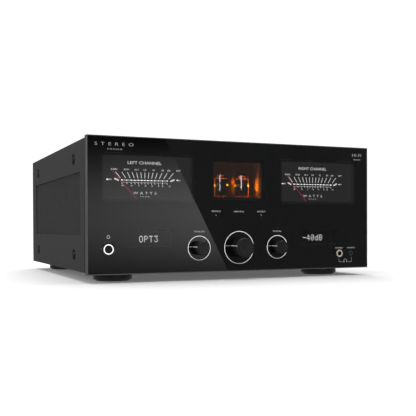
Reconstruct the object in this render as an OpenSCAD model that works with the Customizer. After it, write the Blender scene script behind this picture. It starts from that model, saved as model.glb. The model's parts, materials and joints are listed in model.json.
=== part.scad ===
/* [Front panel] */
// Width of the front panel
panel_w = 430; // [410:1:520]
// Height of the front panel
panel_h = 180; // [178:1:220]
// Thickness of the aluminium fascia, from its front rim to its back
fascia_t = 11; // [10:0.5:14]
// Width of the fascia's rim round the clear front plate
rim = 1.2; // [0.8:0.1:2]
// Thickness of the clear front plate
glass_t = 4; // [3:0.5:5]
// Distance from the panel's side to the centre of a meter and of a display
meter_inset = 84; // [74:1:84]

/* [Case] */
// Depth of the shadow groove between the fascia and the cover
groove_d = 9; // [7:0.5:12]
// Inset of the groove from the panel's edges
groove_inset = 4; // [3:0.5:6]
// Depth of the top cover, front to back
cover_d = 390; // [370:1:470]
// Inset of the cover's sides from the panel's sides
cover_inset = 1.5; // [1:0.1:3]
// Height of the panel's top edge over the cover
cover_drop = 2; // [1:0.5:4]
// Height of the cover's lower edge over the panel's lower edge
cover_lift = 2.3; // [1.5:0.1:4]
// Thickness of the cover's and the chassis's sheet steel
sheet_t = 1.5; // [1:0.1:2]
// Inset of the rear panel from the cover's rear edge
rear_inset = 2; // [1:0.5:5]

/* [Feet] */
// Height of the panel's lower edge over the floor
foot_h = 11; // [8:0.5:16]
// Radius of a foot
foot_r = 27; // [18:0.5:30]
// Thickness of the rubber pad under a foot
pad_h = 1.5; // [1:0.1:3]
// Distance of a foot's centre from the panel's side
foot_inset = 50; // [38:1:60]
// Distance of the front feet's centres behind the panel's front
foot_y_front = 59; // [52:1:70]
// Distance of the rear feet's centres ahead of the cover's rear edge
foot_y_rear = 45; // [35:1:60]

/* [Grilles and screws] */
// Height of the lower edge of the side grilles
grille_z = 51.5; // [48:0.5:60]
// Height of a side grille's window
grille_h = 84; // [70:1:90]
// Distance from the cover's front edge to a side grille's window
grille_front = 23; // [18:1:40]
// Distance from a side grille's window to the cover's rear edge
grille_rear = 33; // [28:1:50]
// Thickness of the perforated inserts
insert_t = 1.2; // [0.8:0.1:1.5]
// Width of a top grille's window
top_grille_w = 84; // [60:1:90]
// Distance of the front screws behind the panel's front
screw_y_front = 81; // [70:1:90]
// Distance of the rear screws ahead of the cover's rear edge
screw_y_rear = 57; // [45:1:70]
// Height of the lower row of screws
screw_z_low = 24.7; // [20:0.1:28]
// Distance of the upper row of screws under the panel's top edge
screw_z_drop = 24.7; // [20:0.1:28]

/* [Controls] */
// Height of the knobs' and the power button's centres
knob_z = 33; // [30:0.5:36]
// Distance of a selector knob from the volume knob
selector_x = 60.3; // [52:0.1:66]
// Radius of the volume knob
volume_r = 13.5; // [10:0.5:17]
// Radius of a selector knob
selector_r = 9.4; // [8:0.1:12]
// Length of the volume knob
volume_len = 19.4; // [15:0.2:24]
// Length of a selector knob
selector_len = 15.2; // [14:0.2:24]
// Gap between a knob's back and the panel
knob_gap = 0.6; // [0.4:0.1:1.5]
// Outer radius of the inlaid ring round the volume knob
volume_ring_r = 22.8; // [19:0.1:26]
// Outer radius of the inlaid ring round a selector knob
selector_ring_r = 16.7; // [13.5:0.1:20]
// Width of the inlaid rings
ring_line = 0.8; // [0.6:0.1:2]
// Radius of the knobs' shafts
shaft_r = 3; // [2.5:0.5:3]
// Distance of the power button from the panel's side
power_inset = 28.2; // [26:0.1:30]
// Radius of the power button's cap
button_r = 5.3; // [4:0.1:5.6]
// Travel of the power button
button_travel = 1.5; // [0.5:0.1:2]

/* [Meters] */
// Width of a meter's window
meter_w = 122; // [100:1:124]
// Height of a meter's window
meter_h = 57; // [50:1:59]
// Height of the centre of the meters' windows
meter_z = 126.8; // [124:0.1:134]
// Depth of the dials behind the panel's front
dial_y = 19.5; // [18:0.1:22]
// Height of the needles' pivots
pivot_z = 85; // [82:0.5:86]
// Length of a needle from its pivot to its tip
needle_len = 69.5; // [50:0.5:71]
// Angle from a needle's rest to the middle of its scale
needle_rest = 42; // [30:1:42]
// Width of a display's window
display_w = 60; // [50:1:66]
// Height of a display's window
display_h = 18; // [14:1:20]
// Height of the centre of the displays
display_z = 45.8; // [42:0.1:48]

/* [Valves] */
// Width of the valve window
valve_window_w = 71.5; // [66:0.5:72]
// Height of the valve window
valve_window_h = 48.5; // [40:0.5:49]
// Height of the centre of the valve window
valve_window_z = 126.8; // [124:0.1:134]
// Distance of a valve from the middle of the panel
valve_x = 16.5; // [14:0.1:19]
// Distance of the valves behind the panel's front
valve_y = 25.2; // [24:0.1:30]
// Radius of a valve's glass
valve_r = 11; // [8:0.1:11]
// Height of a valve's glass, without its tip
valve_h = 48.5; // [40:0.5:49]

/* [Sockets] */
// Radius of the large headphone socket's hole
jack_r = 3.2; // [3.2:0.05:3.3]
// Outer radius of the large headphone socket's bush
jack_bush_r = 5.45; // [5:0.05:6]
// Distance of the large headphone socket from the panel's side
jack_inset = 49.9; // [48:0.1:52]
// Radius of the small earphone socket's hole
small_jack_r = 1.8; // [1.8:0.05:1.9]
// Outer radius of the small earphone socket's bush
small_bush_r = 3.5; // [3:0.05:4]
// Distance of the small earphone socket from the panel's side
small_jack_inset = 30.1; // [29:0.1:31]
// Height of the headphone sockets' centres
jack_z = 22; // [21.5:0.1:24]
// Number of columns of phono sockets
phono_columns = 7; // [3:1:7]
// Distance between neighbouring phono sockets
phono_pitch = 22; // [18:0.5:24]
// Radius of a speaker post's plug hole
plug_r = 2.05; // [2.05:0.01:2.1]
// Radius of a speaker post's cap
cap_r = 8; // [7:0.5:10]
// Distance between the two posts of one channel
post_pitch = 26; // [22:1:30]

/* [Inside] */
// Outer radius of the ring transformer
core_r = 65; // [50:1:68]
// Height of the ring transformer
core_h = 62; // [40:1:64]
// Radius of a filter capacitor
cap_can_r = 17.5; // [12:0.5:20]
// Height of a filter capacitor
cap_can_h = 52; // [30:1:56]
// Height of the heatsinks
sink_h = 104; // [70:1:110]
// Number of fins on a heatsink
fins = 18; // [8:1:20]

/* [Hidden] */
$fn = 64;
gap = 0.15;                      // fit of a piece dropped in a recess, each side
run = 0.05;                      // radial clearance of a shaft in its bore
air = 0.3;                       // space between pieces that pass each other
eps = 1;                         // how far a cut runs past a face

cover_y = fascia_t + groove_d;
depth = cover_y + cover_d;       // the cover's rear edge
rear_y = depth - rear_inset;     // the rear panel's outer face
cover_x = panel_w / 2 - cover_inset;
wall_x = cover_x - sheet_t;      // the cover's inner side face
cover_z = panel_h - cover_drop;
floor_z = cover_lift + sheet_t;  // the chassis floor's upper face
tab_x = wall_x - insert_t - 0.8; // outer face of the chassis's side flanges
meter_x = panel_w / 2 - meter_inset;
power_x = -(panel_w / 2 - power_inset);
jack_x = panel_w / 2 - jack_inset;
small_jack_x = panel_w / 2 - small_jack_inset;
foot_x = panel_w / 2 - foot_inset;
rear_foot_y = depth - foot_y_rear;
screw_ys = [screw_y_front, depth - screw_y_rear];
screw_zs = [screw_z_low, panel_h - screw_z_drop];
top_grille_x = panel_w / 2 - 78;
frame_wall = 6;

// Knobs: their index lines, shafts and encoders
index_angle = 11;                // how far the index line lies above nine o'clock
index_w = 0.9;
index_depth = 0.5;
shaft_hole_r = shaft_r + 1.5;
encoder_y = fascia_t + 6;
encoder_w = 14;
shaft_end_y = encoder_y + 5.5;
board_y = encoder_y + 7;         // front face of the control board
board_t = 1.6;
ring_depth = 1;

// Power button, from the front to the back
bezel_r = 10.3;
bezel_out = 1;
lamp_r = 6.6;
sleeve_r = 9;
lamp_back = fascia_t - 2;
button_flange_r = 6.2;
flange_y = [lamp_back + air, lamp_back + air + 1.2];
switch_y = fascia_t + 5;

// Meters: the case's hollow, its walls and the needle's layers
meter_step = 2;
meter_wall = 3;
hollow_w = meter_w - 2 * meter_step;
hollow_z0 = pivot_z - 12;
hollow_z1 = pivot_z + needle_len + 3;
meter_back = dial_y + 26.5;
dial_t = 0.8;
needle_y = dial_y - 3;
needle_t = 0.5;
needle_w = 0.9;
hub_r = 4;
pin_r = 1;
movement_r = 14;

// Valve chamber and what stands in it
chamber_wall = 2;
chamber_x = valve_window_w / 2 + 0.7;
chamber_back = valve_y + 21.8;
valve_base_z = 96;
chamber_floor_z = valve_base_z + 1;
valve_board_z = 88;
chamber_top_z = valve_base_z + valve_h + 9;
partition_t = 1.5;
glass_wall = 0.8;
valve_pins = 9;
valve_pin_ring_r = 5.95;

// Headphone sockets
jack_board_z = jack_z - 8.3;
jack_len = 31;
small_jack_len = 15;

// Rear sockets
inlet_x = -(panel_w / 2 - 40);
inlet_z = 45;
inlet_w = 24.6;
inlet_h = 17;
inlet_depth = 16;
rocker_z = 88;
rocker_tilt = 12;
phono_rows = [122, 146];
phono_x0 = panel_w / 2 - 46 - (phono_columns - 1) * phono_pitch;
optical_count = 3;
optical_x0 = -105;
optical_pitch = 22;
optical_z = 134;
post_z = 42;
post_xs = [-52 - post_pitch, -52, 52, 52 + post_pitch];
stud_r = 4;
post_flange = 2;
stud_len = 14;
cap_len = 15.7;
rear_board_y = rear_y - 17;

// Inside
core_y = 138;
power_board_y = [core_y + core_r + 14, depth - 76];
power_board_z = 12;
sink_x = panel_w / 2 - 65;       // inner face of the heatsink's plate
sink_plate = 6;
sink_y = [72, depth - 70];
sink_fin = 36;

// The whole object stands on the floor with its box centred over the origin
front_y = -max(volume_len, selector_len) - knob_gap;
back_y = rear_y + post_flange + air + cap_len;

// ---- helpers ----

// Box between two corners
module block(a, b) translate(a) cube(b - a);

// Plate centred on x and z, from y0 to y1
module slab(x, z, w, h, y0, y1) translate([x - w / 2, y0, z - h / 2]) cube([w, y1 - y0, h]);

// Round bar along Y
module rod(x, z, r, y0, y1) translate([x, y0, z]) rotate([-90, 0, 0]) cylinder(h = y1 - y0, r = r);

// Ring along Y
module tube(x, z, r_out, r_in, y0, y1) difference() {
    rod(x, z, r_out, y0, y1);
    rod(x, z, r_in, y0 - eps, y1 + eps);
}

// One copy at the left and one at the right, both the same way round
module pair(x) for (s = [-1, 1]) translate([s * x, 0, 0]) children();

// One copy at the left and its mirror image at the right
module both_sides() {
    children();
    mirror([1, 0, 0]) children();
}

// ---- front panel ----

// Holes through the whole front stack: knob shafts, power button and headphone sockets
module front_holes(y0, y1) {
    for (x = [-selector_x, 0, selector_x]) rod(x, knob_z, shaft_hole_r, y0, y1);
    rod(power_x, knob_z, sleeve_r + gap, y0, y1);
    rod(jack_x, jack_z, jack_bush_r + gap, y0, y1);
    rod(small_jack_x, jack_z, small_bush_r + gap, y0, y1);
}

// Three rings round the knobs, or the grooves that hold them
module ring_shapes(y0, y1, slack) {
    tube(0, knob_z, volume_ring_r + slack, volume_ring_r - ring_line - slack, y0, y1);
    pair(selector_x)
        tube(0, knob_z, selector_ring_r + slack, selector_ring_r - ring_line - slack, y0, y1);
}

// Clear plate, dropped in the fascia's pocket
module front_glass() color([0.05, 0.05, 0.06, 0.5]) difference() {
    slab(0, panel_h / 2, panel_w - 2 * (rim + gap), panel_h - 2 * (rim + gap), 0, glass_t);
    front_holes(-eps, glass_t + eps);
    ring_shapes(-eps, ring_depth, 0.02);
}

// Windows for the meters, the displays and the valves
module windows(y0, y1) {
    pair(meter_x) {
        slab(0, meter_z, meter_w, meter_h, y0, y1);
        slab(0, display_z, display_w, display_h, y0, y1);
    }
    slab(0, valve_window_z, valve_window_w, valve_window_h, y0, y1);
}

// Aluminium plate with a rim, a pocket for the clear plate and the windows behind it
module fascia() color([0.16, 0.16, 0.17]) difference() {
    slab(0, panel_h / 2, panel_w, panel_h, 0, fascia_t);
    slab(0, panel_h / 2, panel_w - 2 * rim, panel_h - 2 * rim, -eps, glass_t);
    windows(glass_t - eps, fascia_t + eps);
    front_holes(glass_t - eps, fascia_t + eps);
}

// Frame in the shadow groove between the fascia and the cover
module front_frame() color([0.03, 0.03, 0.03]) difference() {
    slab(0, panel_h / 2, panel_w - 2 * groove_inset, panel_h - 2 * groove_inset,
        fascia_t, cover_y);
    slab(0, panel_h / 2, panel_w - 2 * (groove_inset + frame_wall),
        panel_h - 2 * (groove_inset + frame_wall), fascia_t - eps, cover_y + eps);
}

// White inlaid rings, flush with the clear plate
module knob_rings() color([0.95, 0.95, 0.95]) ring_shapes(0, ring_depth, 0);

// ---- case ----

// Bottom tray: floor, front and side flanges, screw tabs and the power board's posts
module chassis_base() color([0.12, 0.12, 0.12]) difference() {
    union() {
        block([-tab_x, cover_y, cover_lift], [tab_x, rear_y - sheet_t, floor_z]);
        block([-tab_x, cover_y, cover_lift], [tab_x, cover_y + sheet_t, floor_z + 6]);
        both_sides() {
            block([-tab_x, cover_y, cover_lift], [-tab_x + sheet_t, rear_y - sheet_t, 36]);
            for (y = screw_ys)
                block([-tab_x, y - 10, cover_lift],
                    [-tab_x + sheet_t, y + 10, screw_zs[1] + 8]);
            for (y = power_board_y)
                translate([-78, y + (y == power_board_y[0] ? 6 : -6), floor_z - sheet_t / 2])
                    cylinder(h = power_board_z - floor_z + sheet_t / 2, r = 3);
        }
    }
    screw_bores(-tab_x - eps, -tab_x + sheet_t + eps);
    for (x = [-160:40:160], y = [cover_y + 70:44:depth - 110])
        if (abs(x) > core_r + 10) translate([x - 2, y, 0]) cube([4, 30, floor_z + eps]);
}

// Holes for the eight side screws, between two distances from the left
module screw_bores(x0, x1) both_sides() for (y = screw_ys, z = screw_zs)
    translate([x0, y, z]) rotate([0, 90, 0]) cylinder(h = x1 - x0, r = 2.1);

// Windows of the side grilles, cut through both side walls
module side_windows() block([-cover_x - eps, cover_y + grille_front, grille_z],
    [cover_x + eps, depth - grille_rear, grille_z + grille_h]);

// Sheet steel cover: two sides and a top
module top_cover() color([0.2, 0.2, 0.2]) difference() {
    block([-cover_x, cover_y, cover_lift], [cover_x, depth, cover_z]);
    block([-wall_x, cover_y - eps, cover_lift - eps], [wall_x, depth + eps, cover_z - sheet_t]);
    side_windows();
    pair(top_grille_x) block([-top_grille_w / 2, cover_y + grille_front, cover_z - sheet_t - eps],
        [top_grille_w / 2, depth - grille_rear, cover_z + eps]);
    screw_bores(-cover_x - eps, -wall_x + eps);
}

// Perforated inserts behind the windows in the cover's sides
module side_grilles() color([0.14, 0.14, 0.14]) both_sides()
    block([-wall_x, cover_y + grille_front - 5, grille_z - 5],
        [-wall_x + insert_t, depth - grille_rear + 5, grille_z + grille_h + 5]);

// Perforated inserts under the windows in the cover's top
module top_grilles() color([0.14, 0.14, 0.14]) pair(top_grille_x)
    block([-top_grille_w / 2 - 5, cover_y + grille_front - 5, cover_z - sheet_t - insert_t],
        [top_grille_w / 2 + 5, depth - grille_rear + 5, cover_z - sheet_t]);

// Four round feet under the chassis
module feet() color([0.03, 0.03, 0.03]) pair(foot_x) for (y = [foot_y_front, rear_foot_y])
    translate([0, y, pad_h - foot_h]) rotate_extrude() polygon([[0, 0], [foot_r - 1, 0],
        [foot_r, 1], [foot_r, foot_h + cover_lift - pad_h], [0, foot_h + cover_lift - pad_h]]);

// Rubber pads under the feet
module foot_pads() color([0.08, 0.08, 0.08]) pair(foot_x) for (y = [foot_y_front, rear_foot_y])
    translate([0, y, -foot_h]) cylinder(h = pad_h, r = foot_r - 4);

// Eight side screws: a wide cup washer, a domed head and a shank
module cover_screws() color([0.6, 0.6, 0.62]) both_sides() for (y = screw_ys, z = screw_zs)
    translate([-cover_x, y, z]) rotate([0, 90, 0]) rotate_extrude() polygon([[0, -1.3],
        [2.2, -1.3], [3.2, -0.7], [5, -0.7], [7.2, -0.4], [7.6, 0], [2, 0], [2, 6.5], [0, 6.5]]);

// Rear sheet with its cut-outs
module rear_panel() color([0.12, 0.12, 0.12]) difference() {
    block([-tab_x, rear_y - sheet_t, cover_lift], [tab_x, rear_y, cover_z - sheet_t - gap]);
    slab(inlet_x, inlet_z, inlet_w + 2.4, inlet_h + 2.4, rear_y - sheet_t - eps, rear_y + eps);
    slab(inlet_x, rocker_z, 19.2, 26.2, rear_y - sheet_t - eps, rear_y + eps);
    for (x = post_xs) rod(x, post_z, stud_r + gap, rear_y - sheet_t - eps, rear_y + eps);
    for (i = [0:phono_columns - 1], z = phono_rows)
        rod(phono_x0 + i * phono_pitch, z, 5.2 + gap, rear_y - sheet_t - eps, rear_y + eps);
    for (i = [0:optical_count - 1])
        slab(optical_x0 + i * optical_pitch, optical_z, 13.3, 11.3, rear_y - sheet_t - eps,
            rear_y + eps);
}

// ---- power button ----

// Bright collar round the button
module power_bezel() color([0.7, 0.7, 0.72]) translate([power_x, 0, knob_z]) rotate([-90, 0, 0])
    rotate_extrude() polygon([[lamp_r + run, -bezel_out], [bezel_r - 0.8, -bezel_out],
        [bezel_r, -0.2], [bezel_r, 0], [sleeve_r, 0], [sleeve_r, fascia_t + 2],
        [lamp_r + run, fascia_t + 2]]);

// Lit ring, a light guide that also guides the button
module power_light_ring() color([1, 1, 1])
    tube(power_x, knob_z, lamp_r, button_r + run, -bezel_out + 0.3, lamp_back);

// Button: cap, retaining flange and stem
module power_button() color([0.05, 0.05, 0.05]) translate([power_x, 0, knob_z])
    rotate([-90, 0, 0]) rotate_extrude() polygon([[0, -bezel_out], [button_r - 0.5, -bezel_out],
        [button_r, -bezel_out + 0.5], [button_r, flange_y[0]], [button_flange_r, flange_y[0]],
        [button_flange_r, flange_y[1]], [1.5, flange_y[1]],
        [1.5, switch_y - button_travel - air], [0, switch_y - button_travel - air]]);

// One point of the spring's section, at turn t and section angle a
function spring_point(t, a) = [(3.2 + 0.35 * cos(a)) * cos(360 * t), 0, 0]
    + [0, 0, (3.2 + 0.35 * cos(a)) * sin(360 * t)]
    + [0, flange_y[1] + 0.4 + (switch_y - flange_y[1] - 0.8) * t / 5 + 0.35 * sin(a), 0];

// Return spring between the button's flange and the switch
module power_spring() {
    steps = 60;
    sides = 6;
    points = [for (i = [0:steps], k = [0:sides - 1]) spring_point(5 * i / steps, 360 * k / sides)];
    walls = [for (i = [0:steps - 1], k = [0:sides - 1])
        [i * sides + k, (i + 1) * sides + k, (i + 1) * sides + (k + 1) % sides,
            i * sides + (k + 1) % sides]];
    ends = [[for (k = [0:sides - 1]) k], [for (k = [sides - 1:-1:0]) steps * sides + k]];
    color([0.7, 0.7, 0.72]) translate([power_x, 0, knob_z])
        polyhedron(points, concat(walls, ends), convexity = 6);
}

// Switch behind the button
module power_switch() color([0.1, 0.1, 0.1]) slab(power_x, knob_z, 12, 12, switch_y, board_y);

// ---- knobs ----

// Turned knob with a blind bore and a groove for its index line
module knob(x, r, len) color([0.06, 0.06, 0.06]) translate([x, -knob_gap, knob_z]) difference() {
    rotate([90, 0, 0]) rotate_extrude() polygon([[0, 0], [r - 0.3, 0], [r, 0.3], [r, len - 0.5],
        [r - 0.5, len], [0, len]]);
    rod(0, 0, shaft_r + 0.02, -len + 4, eps);
    rotate([0, index_angle, 0])
        block([-r - eps, -len - eps, -index_w / 2], [-r + index_depth, eps, index_w / 2]);
}

// Steel shaft from the knob to its encoder
module shaft(x, len) color([0.75, 0.75, 0.77])
    rod(x, knob_z, shaft_r, -knob_gap - len + 4.2, shaft_end_y);

module volume_knob() knob(0, volume_r, volume_len);
module analog_knob() knob(-selector_x, selector_r, selector_len);
module digital_knob() knob(selector_x, selector_r, selector_len);
module volume_shaft() shaft(0, volume_len);
module analog_shaft() shaft(-selector_x, selector_len);
module digital_shaft() shaft(selector_x, selector_len);

// Three encoders with their bushes
module encoders() color([0.3, 0.3, 0.32]) for (x = [-selector_x, 0, selector_x]) difference() {
    union() {
        slab(x, knob_z, encoder_w, encoder_w, encoder_y, board_y);
        rod(x, knob_z, shaft_hole_r - gap, fascia_t - 5, encoder_y + eps);
    }
    rod(x, knob_z, shaft_r + run, fascia_t - 5 - eps, shaft_end_y + air);
}

// Board that carries the encoders, the displays' connectors and the power switch
module control_board() color([0.05, 0.3, 0.12])
    block([power_x - 9, board_y, 14], [jack_x - 14, board_y + board_t, 66]);

// Display modules that stand in their windows from behind
module displays() color([0.02, 0.05, 0.06]) pair(meter_x) {
    slab(0, display_z, display_w - 2 * gap, display_h - 2 * gap, fascia_t - 1.5, fascia_t);
    slab(0, display_z, display_w + 6, display_h + 4, fascia_t, fascia_t + 5);
    slab(0, display_z, display_w - 10, 4, fascia_t + 5, board_y);
}

// ---- headphone sockets ----

// Socket: a bush flush with the panel, a body on the board and the plug's hole
module jack(x, bush_r, hole_r, len, body_w) difference() {
    union() {
        rod(x, jack_z, bush_r, -0.3, fascia_t + eps);
        block([x - body_w / 2, fascia_t, jack_board_z],
            [x + body_w / 2, len + 3, jack_z + body_w / 2]);
    }
    rod(x, jack_z, hole_r, -eps, len);
}

module headphone_jack() color([0.75, 0.68, 0.55])
    jack(jack_x, jack_bush_r, jack_r, jack_len, 15);
module earphone_jack() color([0.15, 0.15, 0.15])
    jack(small_jack_x, small_bush_r, small_jack_r, small_jack_len, 10);

// Small board under both sockets
module headphone_board() color([0.05, 0.3, 0.12])
    block([jack_x - 12, fascia_t, jack_board_z - board_t],
        [small_jack_x + 10, jack_len + 8, jack_board_z]);

// ---- meters ----

// Two plastic cases, open to the front and hollow behind the dial
module meter_cases() color([0.06, 0.06, 0.06]) pair(meter_x) difference() {
    block([-hollow_w / 2 - meter_wall, fascia_t, hollow_z0 - meter_wall],
        [hollow_w / 2 + meter_wall, meter_back, hollow_z1 + meter_wall]);
    block([-hollow_w / 2, fascia_t - eps, hollow_z0],
        [hollow_w / 2, meter_back - meter_wall, hollow_z1]);
}

// Dial plate with a hole for the needle's pin
module meter_dial(x) color([0.1, 0.1, 0.1]) difference() {
    block([x - hollow_w / 2 + gap, dial_y, hollow_z0 + gap],
        [x + hollow_w / 2 - gap, dial_y + dial_t, hollow_z1 - gap]);
    rod(x, pivot_z, pin_r + 1, dial_y - eps, dial_y + dial_t + eps);
}

module meter_left_dial() meter_dial(-meter_x);
module meter_right_dial() meter_dial(meter_x);

// Needle at its rest: pin, hub, thin blade and balance tail
module needle(x) color([0.65, 0.12, 0.12]) translate([x, 0, pivot_z]) {
    rod(0, 0, pin_r, needle_y, meter_back - meter_wall - 8);
    rod(0, 0, hub_r, needle_y, needle_y + 1.4);
    rotate([0, -needle_rest, 0])
        block([-needle_w / 2, needle_y, -9], [needle_w / 2, needle_y + needle_t, needle_len]);
}

module meter_left_needle() needle(-meter_x);
module meter_right_needle() needle(meter_x);

// Moving-coil units behind the dials, with a bearing for the pin
module meter_movements() color([0.55, 0.55, 0.58]) pair(meter_x) difference() {
    union() {
        slab(0, pivot_z, 1.6 * movement_r, 1.5 * hub_r + 14, dial_y + 10,
            meter_back - meter_wall);
        rod(0, pivot_z, 6, dial_y + dial_t + 2, dial_y + 10 + eps);
    }
    rod(0, pivot_z, pin_r + run, dial_y, meter_back - meter_wall - 8 + air);
}

// ---- valves ----

// Chamber behind the valve window: two bays, a floor with round holes and a board below
module valve_chamber() color([0.35, 0.2, 0.1]) difference() {
    block([-chamber_x - chamber_wall, fascia_t, valve_board_z],
        [chamber_x + chamber_wall, chamber_back, chamber_top_z]);
    for (s = [-1, 1]) translate([s * (chamber_x + partition_t / 2) / 2, 0, 0])
        slab(0, (chamber_floor_z + 1.5 + chamber_top_z - chamber_wall) / 2,
            chamber_x - partition_t / 2,
            chamber_top_z - chamber_wall - chamber_floor_z - 1.5, fascia_t - eps,
            chamber_back - chamber_wall);
    block([-chamber_x, fascia_t - eps, chamber_floor_z + 1.5],
        [chamber_x, fascia_t + 4, chamber_top_z - chamber_wall]);
    block([-chamber_x, fascia_t - eps, valve_board_z - eps],
        [chamber_x, chamber_back - chamber_wall, chamber_floor_z]);
    for (s = [-1, 1]) translate([s * valve_x, valve_y, valve_board_z])
        cylinder(h = 20, r = valve_r + 0.5);
}

// Outline of a valve's glass, shrunk inwards by a wall: side, dome and sealed tip
function bulb(wall, tip) = [[0, wall], [valve_r - wall, wall],
    for (a = [0:15:75]) [(valve_r - wall) * cos(a), valve_h - 9 + (9 - wall) * sin(a)],
    [1.6 - wall / 2, valve_h - wall], [0, valve_h + tip]];

// Glass bulb with its pins
module valve(x) color([0.8, 0.8, 0.85, 0.4]) translate([x, valve_y, valve_base_z]) {
    rotate_extrude() difference() {
        polygon(bulb(0, 3.5));
        polygon(bulb(glass_wall, 0));
    }
    for (i = [0:valve_pins - 1]) rotate([0, 0, 36 * i]) translate([valve_pin_ring_r, 0, -6])
        cylinder(h = 6.3, r = 0.5);
}

module valve_left() valve(-valve_x);
module valve_right() valve(valve_x);

// Electrodes in each valve: two anodes between mica discs, on a post with the getter
module valve_electrodes() color([0.3, 0.3, 0.32]) pair(valve_x)
    translate([0, valve_y, valve_base_z]) {
        translate([0, 0, 2]) cylinder(h = valve_h - 10, r = 0.8);
        for (z = [9, 34]) translate([0, 0, z]) cylinder(h = 0.8, r = valve_r - glass_wall - 0.4);
        for (s = [-1, 1]) translate([s * 4.4 - 3, -3.2, 9.5]) cube([6, 6.4, 25]);
        translate([-0.7, -0.7, 9.5]) cube([1.4, 1.4, 25]);
        translate([0, 0, valve_h - 9.5]) cylinder(h = 1, r = 5);
    }

// One amber lamp bead on the left wall of each bay
module valve_lamps() color([1, 0.6, 0.15]) for (x = [-chamber_x, partition_t / 2])
    translate([x, valve_y - 8, valve_base_z + valve_h / 2]) rotate([0, 90, 0]) {
        cylinder(h = 1, r = 2.2);
        cylinder(h = 1.6, r = 1.6);
    }

// Sockets under the valves, with a hole for each pin
module valve_sockets() color([0.85, 0.83, 0.78]) pair(valve_x)
    translate([0, valve_y, valve_board_z]) difference() {
        cylinder(h = valve_base_z - valve_board_z - air, r = valve_r);
        for (i = [0:valve_pins - 1]) rotate([0, 0, 36 * i])
            translate([valve_pin_ring_r, 0, 1]) cylinder(h = 20, r = 0.6);
    }

// Board that holds the sockets, under the chamber
module valve_board() color([0.05, 0.3, 0.12])
    block([-chamber_x - chamber_wall, fascia_t, valve_board_z - board_t],
        [chamber_x + chamber_wall, chamber_back + 12, valve_board_z]);

// ---- inside ----

// Ring transformer on the chassis floor
module transformer() color([0.75, 0.45, 0.2]) translate([0, core_y, floor_z]) rotate_extrude()
    polygon([[20, 6], [26, 0], [core_r - 8, 0], [core_r, 8], [core_r, core_h - 8],
        [core_r - 8, core_h], [26, core_h], [20, core_h - 6]]);

// Dished plate and bolt that hold the transformer down
module transformer_clamp() color([0.7, 0.7, 0.72]) translate([0, core_y, floor_z]) {
    translate([0, 0, core_h]) cylinder(h = 2.5, r = 38);
    cylinder(h = core_h + 12, r = 4);
    translate([0, 0, core_h + 2.5]) cylinder(h = 6, r = 7, $fn = 6);
}

// Supply board on its posts
module power_board() color([0.05, 0.3, 0.12])
    block([-86, power_board_y[0], power_board_z], [86, power_board_y[1], power_board_z + board_t]);

// Four filter capacitors on the supply board
module filter_capacitors() color([0.05, 0.06, 0.12]) pair(cap_can_r + 4)
    for (s = [-1, 1]) translate([0, (power_board_y[0] + power_board_y[1]) / 2
            + s * (cap_can_r + 4), power_board_z + board_t])
        cylinder(h = cap_can_h, r = cap_can_r);

// Heatsinks: a thick plate with upright fins that point to the side
module heatsinks() color([0.1, 0.1, 0.1]) both_sides() translate([0, 0, floor_z])
    linear_extrude(sink_h) {
        translate([sink_x, sink_y[0]]) square([sink_plate, sink_y[1] - sink_y[0]]);
        for (i = [0:fins - 1])
            translate([sink_x, sink_y[0] + i * (sink_y[1] - sink_y[0] - 2) / (fins - 1)])
                square([sink_plate + sink_fin, 2]);
    }

// Output transistors, four on each heatsink
module output_transistors() color([0.04, 0.04, 0.04]) both_sides() for (i = [0:3])
    translate([sink_x - 5, sink_y[0] + 30 + i * (sink_y[1] - sink_y[0] - 76) / 3, 34])
        cube([5, 16, 21]);

// Upright amplifier boards, one along each heatsink
module amplifier_boards() color([0.05, 0.3, 0.12]) both_sides()
    block([sink_x - 5 - board_t, sink_y[0] + 8, 16], [sink_x - 5, sink_y[1] - 8, 100]);

// Upright board behind the signal sockets
module input_board() color([0.05, 0.3, 0.12])
    block([optical_x0 - 12, rear_board_y - board_t, phono_rows[0] - 14],
        [phono_x0 + (phono_columns - 1) * phono_pitch + 10, rear_board_y, phono_rows[1] + 12]);

// ---- rear ----

// Phono socket: body, collar and outer contact, with the centre pin's hole
module phono(x, z) difference() {
    union() {
        slab(x, z, 13, 13, rear_board_y, rear_y - sheet_t);
        rod(x, z, 5.2, rear_y - sheet_t - eps, rear_y + 0.8);
        rod(x, z, 4.15, rear_y, rear_y + 9);
    }
    rod(x, z, 1.7, rear_y - 4, rear_y + 9 + eps);
}

module phono_sockets() color([0.8, 0.65, 0.3])
    for (i = [0:phono_columns - 1], z = phono_rows) phono(phono_x0 + i * phono_pitch, z);

// Optical sockets, open to the rear
module optical_sockets() color([0.05, 0.05, 0.05]) for (i = [0:optical_count - 1])
    translate([optical_x0 + i * optical_pitch, 0, optical_z]) difference() {
        slab(0, 0, 13, 11, rear_board_y, rear_y + 1.5);
        slab(0, 0, 8.4, 8.4, rear_y - 9, rear_y + 1.5 + eps);
    }

// Mains inlet: flanged housing with three blades
module mains_inlet() color([0.05, 0.05, 0.05]) {
    difference() {
        union() {
            slab(inlet_x, inlet_z, 48, 24, rear_y, rear_y + 2.2);
            slab(inlet_x, inlet_z, inlet_w + 2, inlet_h + 2, rear_y - inlet_depth - 2, rear_y + 1);
        }
        slab(inlet_x, inlet_z, inlet_w, inlet_h, rear_y - inlet_depth, rear_y + 2.2 + eps);
    }
    for (b = [[-7, -2], [0, 2], [7, -2]])
        slab(inlet_x + b[0], inlet_z + b[1], 2, 4, rear_y - inlet_depth - 1, rear_y - 1.5);
}

// Frame of the mains switch
module mains_switch() color([0.05, 0.05, 0.05]) difference() {
    union() {
        slab(inlet_x, rocker_z, 23, 30, rear_y, rear_y + 2);
        slab(inlet_x, rocker_z, 19, 26, rear_y - 18, rear_y + 1);
    }
    slab(inlet_x, rocker_z, 17, 24.4, rear_y - 12, rear_y + 2 + eps);
}

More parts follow.
